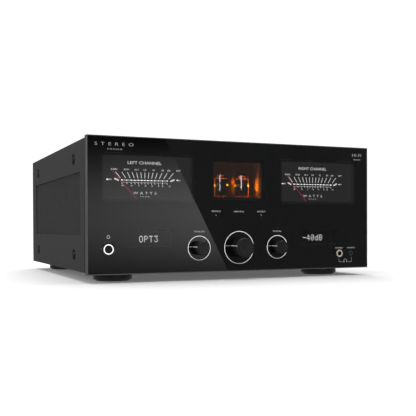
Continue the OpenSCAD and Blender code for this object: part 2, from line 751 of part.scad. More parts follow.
// Rocker of the mains switch, pressed in at its top, on its own axle line
module mains_rocker() color([0.6, 0.08, 0.08]) translate([inlet_x - 8.2, rear_y - 2, rocker_z])
    rotate([rocker_tilt, 0, 0]) rotate([90, 0, 90]) linear_extrude(16.4)
        polygon([[-6, -4], [-6, 4], [0, 11], [5, 11], [2.6, 0], [5, -11], [0, -11]]);

// Speaker posts: a collar outside the panel and a stud with the plug's hole
module speaker_posts() color([0.8, 0.65, 0.3]) for (x = post_xs) difference() {
    union() {
        rod(x, post_z, cap_r + 1, rear_y, rear_y + post_flange);
        rod(x, post_z, stud_r, rear_y - 10, rear_y + post_flange + stud_len);
        rod(x, post_z, 7, rear_y - sheet_t - 3, rear_y - sheet_t);
    }
    rod(x, post_z, plug_r, rear_y - 2, rear_y + post_flange + stud_len + eps);
}

// Screw cap of one speaker post
module post_cap(i) color(i % 2 == 0 ? [0.06, 0.06, 0.06] : [0.6, 0.05, 0.05])
    translate([post_xs[i], rear_y + post_flange + air, post_z]) difference() {
        rotate([-90, 0, 0]) rotate_extrude() polygon([[0, 0], [cap_r - 0.5, 0], [cap_r, 0.5],
            [cap_r, cap_len - 1], [cap_r - 1, cap_len], [0, cap_len]]);
        rod(0, 0, stud_r + run, -eps, stud_len);
        rod(0, 0, plug_r + 0.35, -eps, cap_len + eps);
    }

module post_cap_1() post_cap(0);
module post_cap_2() post_cap(1);
module post_cap_3() post_cap(2);
module post_cap_4() post_cap(3);

// Sets a piece from the panel's own origin to the object's
module place() translate([0, -(front_y + back_y) / 2, foot_h]) children();

place() front_glass();
place() fascia();
place() front_frame();
place() chassis_base();
place() rear_panel();
place() top_cover();
place() side_grilles();
place() top_grilles();
place() feet();
place() foot_pads();
place() cover_screws();
place() knob_rings();
place() power_bezel();
place() power_light_ring();
place() power_switch();
place() power_spring();
place() headphone_jack();
place() earphone_jack();
place() headphone_board();
place() displays();
place() meter_cases();
place() meter_left_dial();
place() meter_right_dial();
place() meter_movements();
place() valve_chamber();
place() valve_left();
place() valve_right();
place() valve_electrodes();
place() valve_lamps();
place() valve_sockets();
place() valve_board();
place() control_board();
place() encoders();
place() transformer();
place() transformer_clamp();
place() power_board();
place() filter_capacitors();
place() amplifier_boards();
place() output_transistors();
place() heatsinks();
place() input_board();
place() phono_sockets();
place() optical_sockets();
place() mains_inlet();
place() mains_switch();
place() speaker_posts();
place() volume_knob();
place() volume_shaft();
place() analog_knob();
place() analog_shaft();
place() digital_knob();
place() digital_shaft();
place() power_button();
place() meter_left_needle();
place() meter_right_needle();
place() mains_rocker();
place() post_cap_1();
place() post_cap_2();
place() post_cap_3();
place() post_cap_4();
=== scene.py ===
"""Integrated amplifier: a glossy black front with two needle meters, a valve window, three knobs
and two headphone sockets, on a black perforated case with four round feet."""

import json
from math import cos, pi, radians, sin, tan

import bmesh
import bpy
import numpy as np
from mathutils import Matrix, Vector


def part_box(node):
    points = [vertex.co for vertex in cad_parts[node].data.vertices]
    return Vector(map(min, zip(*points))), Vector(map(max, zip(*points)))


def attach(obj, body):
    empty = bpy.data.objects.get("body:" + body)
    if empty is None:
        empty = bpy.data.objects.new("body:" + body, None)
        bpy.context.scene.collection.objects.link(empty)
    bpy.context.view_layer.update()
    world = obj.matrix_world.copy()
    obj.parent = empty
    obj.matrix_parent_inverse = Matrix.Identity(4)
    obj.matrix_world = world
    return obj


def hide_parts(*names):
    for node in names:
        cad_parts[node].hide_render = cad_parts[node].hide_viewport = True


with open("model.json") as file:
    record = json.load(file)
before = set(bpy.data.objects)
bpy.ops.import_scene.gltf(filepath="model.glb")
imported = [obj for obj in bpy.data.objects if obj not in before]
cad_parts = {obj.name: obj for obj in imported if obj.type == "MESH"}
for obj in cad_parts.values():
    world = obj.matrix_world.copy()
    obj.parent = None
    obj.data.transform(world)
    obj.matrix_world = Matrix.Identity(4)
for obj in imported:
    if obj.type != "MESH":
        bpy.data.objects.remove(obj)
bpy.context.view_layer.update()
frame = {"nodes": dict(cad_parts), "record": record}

# ---- Studio ----
# A white sweep, soft lights in front, above, at the left side and behind, a narrow strip low at the
# left, and a graded card that the polished front mirrors as one slanted band.

MM = 0.001
front_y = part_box("front_glass")[0].y
panel_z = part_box("fascia")[0].z


def at(x, y, z):
    """A place given in millimetres from the panel's middle, front plane and lower edge."""
    return Vector((x * MM, front_y + y * MM, panel_z + z * MM))


scene = bpy.context.scene
scene.view_settings.view_transform = "Standard"


def point_camera(place, yaw, pitch, roll, lens, shift):
    """Camera at a place, turned right by yaw from +Y, up by pitch and over by roll, in degrees."""
    camera = bpy.data.objects.new("camera", bpy.data.cameras.new("camera"))
    scene.collection.objects.link(camera)
    camera.data.lens = lens
    camera.data.sensor_width = 36.0
    camera.data.shift_y = shift
    camera.data.clip_start = 0.01
    camera.matrix_world = (
        Matrix.Translation(place)
        @ Matrix.Rotation(radians(-yaw), 4, "Z")
        @ Matrix.Rotation(radians(90.0 + pitch), 4, "X")
        @ Matrix.Rotation(radians(roll), 4, "Z")
    )
    scene.camera = camera


point_camera(at(-432.3, -891.7, 60.0), 23.35, -0.55, -0.2, 61.57, 0.0649)


def soft_light(name, place, target, size, power, colour=(1.0, 1.0, 1.0), mirrored=True):
    """Rectangular area light that looks at a target; mirrored says whether polish shows it."""
    data = bpy.data.lights.new(name, "AREA")
    data.shape = "RECTANGLE"
    data.size, data.size_y = size
    data.energy = power
    data.color = colour
    lamp = bpy.data.objects.new(name, data)
    scene.collection.objects.link(lamp)
    lamp.location = place
    lamp.rotation_euler = (Vector(target) - Vector(place)).to_track_quat("-Z", "Y").to_euler()
    lamp.visible_glossy = mirrored
    return lamp


front_lamp = soft_light("front_light", (0.2, -2.6, 2.6), (0, -0.1, 0), (2.4, 1.6), 150,
                        mirrored=False)
soft_light("top_light", (0, 0.2, 2.8), (0, 0, 0), (3.2, 3.0), 90)
soft_light("side_light", (-2.2, 0.35, 0.9), (-0.2, 0.05, 0.1), (1.6, 1.1), 17)
soft_light("strip_light", (-1.3, -1.15, 0.235), (0, -0.18, 0.13), (0.25, 0.09), 1.6)
soft_light("rear_light", (0.8, 2.8, 1.6), (0, 0.1, 0.1), (1.8, 1.2), 60)


def feed(tree, shader_node, inputs):
    """Sets each input of a shader node to a value, or joins it to another node or its output."""
    for key, value in inputs.items():
        if isinstance(value, bpy.types.Node):
            value = value.outputs[0]
        if isinstance(value, bpy.types.NodeSocket):
            tree.links.new(value, shader_node.inputs[key])
        else:
            shader_node.inputs[key].default_value = value


def wired(tree, kind, inputs):
    """A new shader node of a kind, with its inputs fed."""
    shader_node = tree.nodes.new("ShaderNode" + kind)
    feed(tree, shader_node, inputs)
    return shader_node


def light_the_room():
    """White surroundings for the eye, soft grey for matt surfaces and dark grey for polish."""
    world = scene.world or bpy.data.worlds.new("studio")
    scene.world = world
    world.use_nodes = True
    tree = world.node_tree
    tree.nodes.clear()
    path = tree.nodes.new("ShaderNodeLightPath")
    seen, soft, gloss = (
        wired(tree, "Background", {"Color": colour, "Strength": strength})
        for colour, strength in (((1, 1, 1, 1), 1.1), ((1, 1, 1, 1), 0.55),
                                 ((0.96, 0.98, 1, 1), 0.16)))
    by_gloss = wired(tree, "MixShader", {0: path.outputs["Is Glossy Ray"], 1: soft, 2: gloss})
    by_eye = wired(tree, "MixShader", {0: path.outputs["Is Camera Ray"], 1: by_gloss, 2: seen})
    wired(tree, "OutputWorld", {"Surface": by_eye})


light_the_room()


def new_mesh(name, points, faces):
    """Mesh of points in metres, and of faces given as an array or as lists."""
    mesh = bpy.data.meshes.new(name)
    mesh.from_pydata(np.array(points).tolist(), [],
                     faces.tolist() if isinstance(faces, np.ndarray) else faces)
    return mesh


def stage_plane(name, corners, material):
    """Flat stage piece through four corners."""
    mesh = new_mesh(name, corners, [(0, 1, 2, 3)])
    mesh.materials.append(material)
    plane = bpy.data.objects.new(name, mesh)
    scene.collection.objects.link(plane)
    return plane


def bare_material(name):
    """Material whose tree holds only its output; gives the material, its tree and the output."""
    material = bpy.data.materials.new(name)
    material.use_nodes = True
    tree = material.node_tree
    tree.nodes.clear()
    return material, tree, tree.nodes.new("ShaderNodeOutputMaterial")


def own_place(tree):
    """The piece's own coordinates."""
    return tree.nodes.new("ShaderNodeTexCoord").outputs["Object"]


def spread(tree, value, low, high, start=0.3, stop=0.7, curve="LINEAR"):
    """Maps a value from start..stop to low..high, straight or along a curve."""
    ramp = wired(tree, "MapRange", {"Value": value, "From Min": start, "From Max": stop,
                                    "To Min": low, "To Max": high})
    ramp.interpolation_type = curve
    return ramp.outputs[0]


def sweep_paint():
    """Matt white floor with a little light of its own; it fades out into the white room."""
    paint, tree, output = bare_material("sweep_paint")
    distance = wired(tree, "VectorMath", {0: own_place(tree)})
    distance.operation = "LENGTH"
    fade = spread(tree, distance.outputs["Value"], 0, 1, 0.5, 1.3, "SMOOTHSTEP")
    matt = wired(tree, "BsdfDiffuse", {"Color": (0.66, 0.66, 0.66, 1)})
    own = wired(tree, "Emission", {"Strength": 0.115})
    both = wired(tree, "AddShader", {0: matt, 1: own})
    clear = wired(tree, "BsdfTransparent", {})
    feed(tree, output, {"Surface": wired(tree, "MixShader", {0: fade, 1: both, 2: clear})})
    return paint


floor_half = 1.4
studio_floor = stage_plane(
    "studio_floor",
    [(-floor_half, -floor_half, 0), (floor_half, -floor_half, 0),
     (floor_half, floor_half, 0), (-floor_half, floor_half, 0)],
    sweep_paint(),
)
studio_floor.visible_glossy = False
spared = bpy.data.collections.new("spared_by_front_light")
spared.objects.link(studio_floor)
spared.collection_objects[0].light_linking.link_state = "EXCLUDE"
front_lamp.light_linking.receiver_collection = spared


def maths(tree, operation, first, second):
    """Math node on two values."""
    sum_node = wired(tree, "Math", {0: first, 1: second})
    sum_node.operation = operation
    return sum_node


def card_light(middle, reach, left, right, low, high):
    """Glow of the graded card: brightest at a height, fading up and down, fuller to the right."""
    glow, tree, output = bare_material("card_light")
    split = wired(tree, "SeparateXYZ", {0: own_place(tree)})
    rise = spread(tree, split.outputs["Z"], 0, 1, middle - reach[0], middle, "SMOOTHSTEP")
    fall = spread(tree, split.outputs["Z"], 0, 1, middle + reach[1], middle, "SMOOTHSTEP")
    across = spread(tree, split.outputs["X"], low, high, left, right)
    total = maths(tree, "MULTIPLY", maths(tree, "MULTIPLY", rise, fall), across)
    feed(tree, output, {"Surface": wired(tree, "Emission", {"Strength": total})})
    return glow


card_y = front_y - 1.5
card_low, card_high = -0.16, 0.51
studio_card = stage_plane(
    "studio_card",
    [(-0.6, card_y, card_low), (0.718, card_y, card_low),
     (0.374, card_y, card_high), (-0.6, card_y, card_high)],
    card_light(0.12, (0.30, 0.28), 0.15, 0.60, 0.85, 1.4),
)
studio_card.visible_camera = studio_card.visible_diffuse = False
studio_card.visible_shadow = studio_card.visible_transmission = False

# ---- Case ----
# The fascia is one milled and black anodised aluminium plate with a pocket for the clear plate.
# Cover, chassis and rear panel are sheet steel in fine black texture paint.


def new_finish(name):
    """Material with an empty tree but for its shader; gives the material, its tree and shader."""
    material = bpy.data.materials.new(name)
    material.use_nodes = True
    return material, material.node_tree, material.node_tree.nodes["Principled BSDF"]


def grain(tree, scale, detail=3.0, stretch=(1, 1, 1), rough=0.6, place=None):
    """Noise on the piece's own coordinates, or on a place given, finer with scale, and drawn out
    along an axis."""
    place = own_place(tree) if place is None else place
    turn = wired(tree, "Mapping", {"Scale": stretch, "Vector": place})
    noise = wired(tree, "TexNoise", {"Scale": scale, "Detail": detail, "Roughness": rough,
                                     "Vector": turn})
    return noise.outputs["Fac"]


def tint(tree, value, dark, light):
    """Colour that runs from dark to light with a grain; one number stands for a grey."""
    ramp = wired(tree, "ValToRGB", {"Fac": value})
    for stop, position, colour in zip(ramp.color_ramp.elements, (0.3, 0.7), (dark, light)):
        stop.position = position
        stop.color = (*np.broadcast_to(colour, 3), 1)
    return ramp.outputs["Color"]


def relief(tree, surface, value, depth, strength=0.5):
    """Raises a grain as a bump of that depth in metres."""
    feed(tree, surface, {"Normal": wired(tree, "Bump", {
        "Distance": depth, "Strength": strength, "Height": value})})


def finish(name, dark, light, rough, metal=0.0, scale=400, depth=0.0, stretch=(1, 1, 1),
           coat=0.0, glow=0.0, specular=0.5, detail=3.0):
    """A surface whose colour, roughness and fine relief follow one grain."""
    material, tree, surface = new_finish(name)
    fleck = grain(tree, scale, detail, stretch)
    colour = tint(tree, fleck, dark, light)
    feed(tree, surface, {
        "Base Color": colour, "Roughness": spread(tree, fleck, *rough), "Metallic": metal,
        "Coat Weight": coat, "Coat Roughness": 0.05, "Specular IOR Level": specular})
    if glow:
        feed(tree, surface, {"Emission Color": colour, "Emission Strength": glow})
    if depth:
        relief(tree, surface, fleck, depth)
    return material


def body_of(node):
    """Name of the CAD body that holds a node."""
    groups = frame["record"]["behaviour"]["bodies"]
    return next(body for body, nodes in groups.items() if node in nodes)


def place_piece(name, mesh, materials, body="amplifier", stands_for=()):
    """Links a finished mesh as a piece that rides on a body and may stand for CAD nodes."""
    for material in materials:
        mesh.materials.append(material)
    piece = bpy.data.objects.new(name, mesh)
    scene.collection.objects.link(piece)
    if stands_for:
        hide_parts(*stands_for)
    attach(piece, body)
    return piece


def ease(piece, width):
    """Rounds a piece's edges a little, as deburring, paint or moulding does."""
    bevel = piece.modifiers.new("eased_edges", "BEVEL")
    bevel.width = width
    bevel.segments = 2
    bevel.limit_method = "ANGLE"
    bevel.angle_limit = radians(40)
    bevel.use_clamp_overlap = True
    return piece


def merged(node):
    """Copy of a CAD node's mesh with its loose triangles joined into flat faces."""
    mesh = frame["nodes"][node].data.copy()
    mesh.materials.clear()
    shape = bmesh.new()
    shape.from_mesh(mesh)
    bmesh.ops.remove_doubles(shape, verts=shape.verts, dist=1e-6)
    bmesh.ops.dissolve_limit(shape, angle_limit=radians(0.3), verts=shape.verts, edges=shape.edges)
    for face in shape.faces:
        turns = [edge.calc_face_angle(0) for edge in face.edges]
        face.smooth = any(radians(1) < turn < radians(35) for turn in turns)
    shape.to_mesh(mesh)
    shape.free()
    mesh.set_sharp_from_angle(angle=radians(35))
    return mesh


def eased(node, material, width):
    """A CAD node's shape with its edges eased, standing for that node."""
    piece = place_piece(node + "_shape", merged(node), [material], body_of(node), [node])
    return ease(piece, width)


def paint_node(node, material):
    """Gives a CAD node that stays as it is its finish."""
    mesh = frame["nodes"][node].data
    mesh.materials.clear()
    mesh.materials.append(material)


black_anodise = finish("black_anodise", (0.16, 0.16, 0.165), (0.22, 0.22, 0.225), (0.30, 0.42),
                       metal=0.85, scale=900, depth=0.00001)
mask_ink = finish("mask_ink", (0.11, 0.11, 0.114), (0.15, 0.15, 0.154), (0.9, 1.0), scale=300,
                  specular=0.0)
texture_paint = finish("texture_paint", (0.022, 0.022, 0.023), (0.034, 0.034, 0.035), (0.42, 0.6),
                       scale=1500, depth=0.00008, detail=5.0, specular=0.4)
# Painted light: the walls of the meter windows glow, so they look brighter than their dark grey.
window_wall_painted_glow = finish("window_wall_painted_glow", 0.014, 0.020, (0.6, 0.8), scale=900, glow=3.4)
groove_plastic = finish("groove_plastic", 0.006, 0.010, (0.5, 0.7), scale=700, depth=0.00002)

fascia = eased("fascia", black_anodise, 0.00025)
fascia.data.materials.append(mask_ink)
fascia.data.materials.append(window_wall_painted_glow)
pocket_y = front_y + 4 * MM


meter_walls_x, meter_walls_z = (69, 193), (97, 156)


def ink_the_pocket(mesh):
    """Masking ink on the pocket's floor, where faces look forward at the clear plate, and a dark
    grey with a painted glow on the walls of the two meter windows."""
    for face in mesh.polygons:
        if face.normal.y < -0.9 and abs(face.center.y - pocket_y) < 0.0003:
            face.material_index = 1
        side_x, height = abs(face.center.x / MM), (face.center.z - panel_z) / MM
        if (abs(face.normal.y) < 0.1 and face.center.y > pocket_y
                and meter_walls_x[0] < side_x < meter_walls_x[1]
                and meter_walls_z[0] < height < meter_walls_z[1]):
            face.material_index = 2


ink_the_pocket(fascia.data)
eased("front_frame", groove_plastic, 0.0004)
for node, width in (("top_cover", 0.0006), ("chassis_base", 0.0003), ("rear_panel", 0.0003)):
    eased(node, texture_paint, width)


def perforated(name, corner, right, up, pitch, hole, columns, rows):
    """Sheet of staggered round holes. Each hole sits in a hexagon; twelve quads join the hole's
    rim, centre + hole/2 * (cos, sin), to the hexagon's corners and edge middles."""
    turns = np.arange(12) * pi / 6
    apothem = pitch / 2
    reach = np.where(np.arange(12) % 2 == 0, apothem, apothem / cos(pi / 6))
    unit = np.stack([np.cos(turns), np.sin(turns)], -1)
    ring = np.concatenate([unit * hole / 2, unit * reach[:, None]])
    column, row = np.meshgrid(np.arange(columns), np.arange(rows))
    centres = np.stack([(column + 0.5 * (row % 2)) * pitch, row * pitch * cos(pi / 6)], -1)
    flat = (centres.reshape(-1, 1, 2) + ring[None]).reshape(-1, 2)
    points = np.asarray(corner) + flat[:, :1] * np.asarray(right) + flat[:, 1:] * np.asarray(up)
    first = np.arange(12)
    quad = np.stack([first, 12 + first, 12 + (first + 1) % 12, (first + 1) % 12], -1)
    faces = (quad[None] + 24 * np.arange(columns * rows)[:, None, None]).reshape(-1, 4)
    mesh = new_mesh(name, points, faces)
    shape = bmesh.new()
    shape.from_mesh(mesh)
    bmesh.ops.remove_doubles(shape, verts=shape.verts, dist=pitch * 0.02)
    shape.to_mesh(mesh)
    shape.free()
    return mesh


def grille(name, corner, right, up, width, height, stands_for=()):
    """Perforated insert of that size, with its hole field centred, punched in 1.2 mm sheet."""
    pitch, hole = 5.4 * MM, 3.1 * MM
    columns = int(width / pitch)
    rows = int(height / (pitch * cos(pi / 6)))
    offset_right = (width - (columns - 0.5) * pitch) / 2
    offset_up = (height - (rows - 1) * pitch * cos(pi / 6)) / 2
    start = Vector(corner) + offset_right * Vector(right) + offset_up * Vector(up)
    mesh = perforated(name, start, right, up, pitch, hole, columns, rows)
    piece = place_piece(name, mesh, [texture_paint], "amplifier", stands_for)
    wall = piece.modifiers.new("sheet", "SOLIDIFY")
    wall.thickness = 1.15 * MM
    wall.offset = -1
    return piece


sides_low, sides_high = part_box("side_grilles")
tops_low, tops_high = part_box("top_grilles")
side_span = sides_high.y - sides_low.y
side_rise = sides_high.z - sides_low.z
top_width = 0.094
grille("side_grille_left_sheet", sides_low, (0, 0, 1), (0, 1, 0), side_rise, side_span,
       ["side_grilles"])
grille("side_grille_right_sheet", (sides_high.x, sides_high.y, sides_low.z), (0, 0, 1), (0, -1, 0),
       side_rise, side_span)
for side, low_x, nodes in (("left", tops_low.x, ["top_grilles"]),
                           ("right", tops_high.x - top_width, [])):
    grille(f"top_grille_{side}_sheet", (low_x, tops_low.y, tops_high.z), (1, 0, 0), (0, 1, 0),
           top_width, tops_high.y - tops_low.y, nodes)

dust_cloth = finish("dust_cloth", 0.006, 0.014, (0.85, 1.0), scale=2500, depth=0.00004,
                    stretch=(1, 1, 3), detail=1.0)


def cloth_screen(name, x, inward):
    """Dust cloth behind a side grille: a grid over depth and height, with a shallow wave of
    0.1 mm * sin(12 turns of depth) * sin(3 turns of height)."""
    depth, rise = np.meshgrid(np.linspace(0, 1, 61), np.linspace(0, 1, 21))
    wave = 0.1 * MM * np.sin(24 * pi * depth) * np.sin(6 * pi * rise)
    points = np.stack([x + inward * (0.35 * MM + wave), sides_low.y + side_span * depth,
                       sides_low.z + side_rise * rise], -1).reshape(-1, 3)
    first = (np.arange(20)[:, None] * 61 + np.arange(60)).ravel()
    order = (0, 61, 62, 1) if inward > 0 else (0, 1, 62, 61)
    mesh = new_mesh(name, points, first[:, None] + np.array(order))
    mesh.shade_smooth()
    weave = place_piece(name, mesh, [dust_cloth]).modifiers.new("weave", "SOLIDIFY")
    weave.thickness = 0.15 * MM
    weave.offset = -1


cloth_screen("dust_cloth_left", sides_low.x + 1.2 * MM, 1)
cloth_screen("dust_cloth_right", sides_high.x - 1.2 * MM, -1)

# ---- Cover screws ----
# Each side screw is a domed steel head with a hexagon socket, in a black dished cup washer.


def bands(rings, count):
    """Quads between neighbouring rings of count points each, closed round every ring."""
    here = np.arange(count)
    after = (here + 1) % count
    step = np.arange(rings - 1)[:, None] * count
    return np.stack([step + here, step + after, step + count + after, step + count + here],
                    -1).reshape(-1, 4)


def turned(profile, segments):
    """Surface of revolution: profile points (radius, height) swept as (r cos t, r sin t, h)."""
    radius, height = (np.array(profile, float) * MM).T[:, :, None]
    angle = np.arange(segments) * 2 * pi / segments
    points = np.stack([radius * np.cos(angle), radius * np.sin(angle),
                       np.broadcast_to(height, (len(profile), segments))], -1).reshape(-1, 3)
    return points, bands(len(profile), segments)


def turned_mesh(name, profile, centres, aim, segments, sharp=30):
    """Turned pieces at each centre (mm), their axis along aim; merged poles, outward faces."""
    points, quads = turned(profile, segments)
    spin = np.array(Vector((0, 0, 1)).rotation_difference(Vector(aim)).to_matrix())
    turned_points = points @ spin.T
    sets = [turned_points + np.array(at(*centre)) for centre in centres]
    faces = [quads + i * len(points) for i in range(len(sets))]
    return smoothed(new_mesh(name, np.concatenate(sets), np.concatenate(faces)), sharp)


def turned_piece(name, profile, centres, aim, segments, material, body="amplifier",
                 stands_for=(), sharp=30):
    """Turned pieces of one finish, placed under one name."""
    mesh = turned_mesh(name, profile, centres, aim, segments, sharp)
    return place_piece(name, mesh, [material], body, stands_for)


def smoothed(mesh, sharp=30):
    """Merges a mesh's doubles, turns its faces outwards and shades it smooth up to an angle."""
    shape = bmesh.new()
    shape.from_mesh(mesh)
    bmesh.ops.remove_doubles(shape, verts=shape.verts, dist=1e-6)
    bmesh.ops.recalc_face_normals(shape, faces=shape.faces)
    for face in shape.faces:
        face.smooth = True
    shape.to_mesh(mesh)
    shape.free()
    mesh.set_sharp_from_angle(angle=radians(sharp))
    return mesh


def local(point):
    """A place in metres as millimetres from the panel's origin: the inverse of at()."""
    return (point[0] / MM, (point[1] - front_y) / MM, (point[2] - panel_z) / MM)


screw_steel = finish("screw_steel", 0.05, 0.08, (0.22, 0.34), metal=1.0, scale=1200, depth=0.00001)
cup_black = finish("cup_black", 0.004, 0.007, (0.5, 0.65), scale=900, depth=0.00001, specular=0.12)
screws_low, screws_high = (local(corner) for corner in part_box("cover_screws"))
cup_r = 7.6
screw_rows = [(y, z) for y in (screws_low[1] + cup_r, screws_high[1] - cup_r)
              for z in (screws_low[2] + cup_r, screws_high[2] - cup_r)]
side_face = screws_high[0] - 1.3
cup_profile = [(0, 0.02), (cup_r, 0.02), (7.55, 0.25), (7.0, 0.75), (6.4, 0.85), (5.4, 0.45),
               (4.6, 0.2), (0, 0.2)]
head_profile = [(0, 0.15), (3.6, 0.2), (3.6, 0.5), (3.2, 0.95), (2.4, 1.22), (1.6, 1.28),
                (1.45, 1.2), (1.45, 0.35), (0, 0.35)]
for name, side, nodes in (("left", -1, ["cover_screws"]), ("right", 1, ())):
    seats = [(side * side_face, y, z) for y, z in screw_rows]
    turned_piece("screw_cups_" + name, cup_profile, seats, (side, 0, 0), 48, cup_black)
    turned_piece("screw_heads_" + name, head_profile, seats, (side, 0, 0), 36, screw_steel,
                 stands_for=nodes)

# ---- Feet ----
# Turned aluminium feet in glossy black, each with a fine groove, on rubber pads.

foot_gloss = finish("foot_gloss", 0.006, 0.010, (0.10, 0.2), scale=300, coat=0.6, depth=0.000004)
pad_rubber = finish("pad_rubber", 0.012, 0.022, (0.75, 0.95), scale=900, depth=0.00004)
feet_low, feet_high = (local(corner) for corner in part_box("feet"))
foot_r = 27.0
foot_places = [(x, y, feet_low[2]) for x in (feet_low[0] + foot_r, feet_high[0] - foot_r)
               for y in (feet_low[1] + foot_r, feet_high[1] - foot_r)]
foot_rise = feet_high[2] - feet_low[2]
foot_profile = [(0, 0), (foot_r - 1.2, 0), (foot_r - 0.4, 0.3), (foot_r, 1.1), (foot_r, 4.6),
                (foot_r - 0.5, 4.9), (foot_r - 0.5, 5.4), (foot_r, 5.7), (foot_r, foot_rise - 0.5),
                (foot_r - 0.5, foot_rise), (0, foot_rise)]
turned_piece("feet_turned", foot_profile, foot_places, (0, 0, 1), 128, foot_gloss,
             stands_for=["feet"])
paint_node("foot_pads", pad_rubber)

# ---- Front plate ----
# A smoked polished plate in the fascia's pocket. Behind it the pocket is inked black, so that only
# the windows show through. Its front mirrors the room; its back is wetted by the ink.


def clear_polish(name, ior, smudge, smoke=(1, 1, 1)):
    """Clear or smoked thin wall: light passes, and its outer side mirrors by Fresnel."""
    material, tree, output = bare_material(name)
    let = wired(tree, "BsdfTransparent", {"Color": (*smoke, 1)})
    mirror = wired(tree, "BsdfGlossy", {"Color": (1, 1, 1, 1),
                                        "Roughness": spread(tree, grain(tree, 25), *smudge)})
    inner = tree.nodes.new("ShaderNodeNewGeometry").outputs["Backfacing"]
    outer = maths(tree, "SUBTRACT", wired(tree, "Fresnel", {"IOR": ior}), inner)
    outer.use_clamp = True
    feed(tree, output, {"Surface": wired(tree, "MixShader", {0: outer, 1: let, 2: mirror})})
    return material


def see_through(name):
    """Clear face with no mirror of its own: a plate's back against the ink, or a bulb's inside."""
    material, tree, output = bare_material(name)
    colour = tint(tree, grain(tree, 40), 0.97, 1)
    feed(tree, output, {"Surface": wired(tree, "BsdfTransparent", {"Color": colour})})
    return material


plate_front = clear_polish("plate_front", 1.52, (0.0, 0.02), (0.2, 0.2, 0.2))
plate_back = see_through("plate_back")
backed_black = finish("backed_black", (0.0015, 0.0015, 0.0016), (0.0025, 0.0025, 0.0026),
                      (0.0, 0.02), scale=25)
window_zones = [(x, z, w / 2 + margin, h / 2 + margin) for x, z, w, h, margin in (
    (-131.0, 126.8, 122.0, 57.0, 4.0), (131.0, 126.8, 122.0, 57.0, 4.0),
    (0.0, 126.8, 71.5, 48.5, 4.0), (-131.0, 45.8, 60.0, 18.0, 2.0),
    (131.0, 45.8, 60.0, 18.0, 2.0))]


def zoned_plate():
    """CAD plate, cut along the window zones' edges, so that each zone has its own finish."""
    mesh = merged("front_glass")
    shape = bmesh.new()
    shape.from_mesh(mesh)
    cuts_x = sorted({x + side * half for x, _, half, _ in window_zones for side in (-1, 1)})
    cuts_z = sorted({z + side * half for _, z, _, half in window_zones for side in (-1, 1)})
    for place, facing in ([(at(x, 0, 0), (1, 0, 0)) for x in cuts_x]
                          + [(at(0, 0, z), (0, 0, 1)) for z in cuts_z]):
        bmesh.ops.bisect_plane(shape, geom=[*shape.verts, *shape.edges, *shape.faces],
                               plane_co=place, plane_no=facing)
    for face in shape.faces:
        x, y, z = local(face.calc_center_median())
        shown = any(abs(x - zone_x) < half_w and abs(z - zone_z) < half_h
                    for zone_x, zone_z, half_w, half_h in window_zones)
        face.smooth = False
        face.material_index = 1 if y > 0.5 else 0 if shown else 2
    shape.to_mesh(mesh)
    shape.free()
    return mesh


place_piece("front_plate", zoned_plate(), [plate_front, plate_back, backed_black],
            stands_for=["front_glass"])

# ---- Printing on the front ----
# White and grey screen print on the plate: names by the knobs and lamps, the socket and power
# signs. Three short grey strips beside the knobs are painted reflections.

print_white = finish("print_white", (0.30, 0.30, 0.31), (0.36, 0.36, 0.37), (0.5, 0.6), scale=2000)
print_grey_and_reflection = finish("print_grey_and_reflection", (0.22, 0.22, 0.23), (0.28, 0.28, 0.29), (0.5, 0.6), scale=2000)


def lettering(words, width, x, y, z, height=None, bold=0.0, spacing=1.0, turn=(0, -1)):
    """Flat letters centred at a place (mm), fitted to a width and a height, facing along turn."""
    curve = bpy.data.curves.new("lettering", "FONT")
    curve.body = words
    curve.size = 1.0
    curve.space_character = spacing
    curve.offset = bold
    curve.resolution_u = 3
    blank = bpy.data.objects.new("lettering", curve)
    scene.collection.objects.link(blank)
    bpy.context.view_layer.update()
    drawn = blank.evaluated_get(bpy.context.evaluated_depsgraph_get())
    mesh = bpy.data.meshes.new_from_object(drawn)
    bpy.data.objects.remove(blank)
    points = np.empty(len(mesh.vertices) * 3)
    mesh.vertices.foreach_get("co", points)
    points = points.reshape(-1, 3)
    low, high = points.min(0), points.max(0)
    scale_x = width * MM / (high[0] - low[0])
    scale_z = height * MM / (high[1] - low[1]) if height else scale_x
    flat = (points - (low + high) / 2) * (scale_x, scale_z, 0)
    side = 1 if turn[1] < 0 else -1
    placed = np.stack([side * flat[:, 0], np.zeros(len(flat)), flat[:, 1]], -1)
    return placed + np.array(at(x, y, z)), [list(face.vertices) for face in mesh.polygons]


def on_plane(flat, y):
    """Flat points (x, z) in millimetres as places at a depth y."""
    across, up = np.array(flat).T * MM
    return np.stack([across, np.full(len(flat), front_y + y * MM), panel_z + up], -1)


def strip(points, half, y):
    """Flat line of a half-width (mm) through points (x, z), with mitred joints, facing front."""
    path = np.array(points, float)
    along = np.gradient(path, axis=0)
    along /= np.linalg.norm(along, axis=1)[:, None]
    normal = np.stack([-along[:, 1], along[:, 0]], -1) * half
    n = len(path)
    faces = [[i, i + 1, n + i + 1, n + i] for i in range(n - 1)]
    return on_plane(np.concatenate([path + normal, path - normal]), y), faces


def arc(x, z, r, start, stop, count=24):
    """Points of an arc round (x, z), angles in degrees."""
    return [(x + r * cos(radians(start + (stop - start) * i / count)),
             z + r * sin(radians(start + (stop - start) * i / count))) for i in range(count + 1)]


def joined_lists(pairs):
    """Joins (points, faces) pairs to one list of points and one of faces."""
    points, faces, start = [], [], 0
    for some_points, some_faces in pairs:
        points.append(some_points)
        faces += [[start + i for i in face] for face in some_faces]
        start += len(some_points)
    return np.concatenate(points), faces


def printed(name, marks, material, facing=-1):
    """Joins flat marks to one printed piece, its faces turned forwards (-1) or backwards (1)."""
    mesh = new_mesh(name, *joined_lists(marks))
    shape = bmesh.new()
    shape.from_mesh(mesh)
    for face in shape.faces:
        if (face.normal.y > 0) == (facing < 0):
            face.normal_flip()
    shape.to_mesh(mesh)
    shape.free()
    return place_piece(name, mesh, [material])


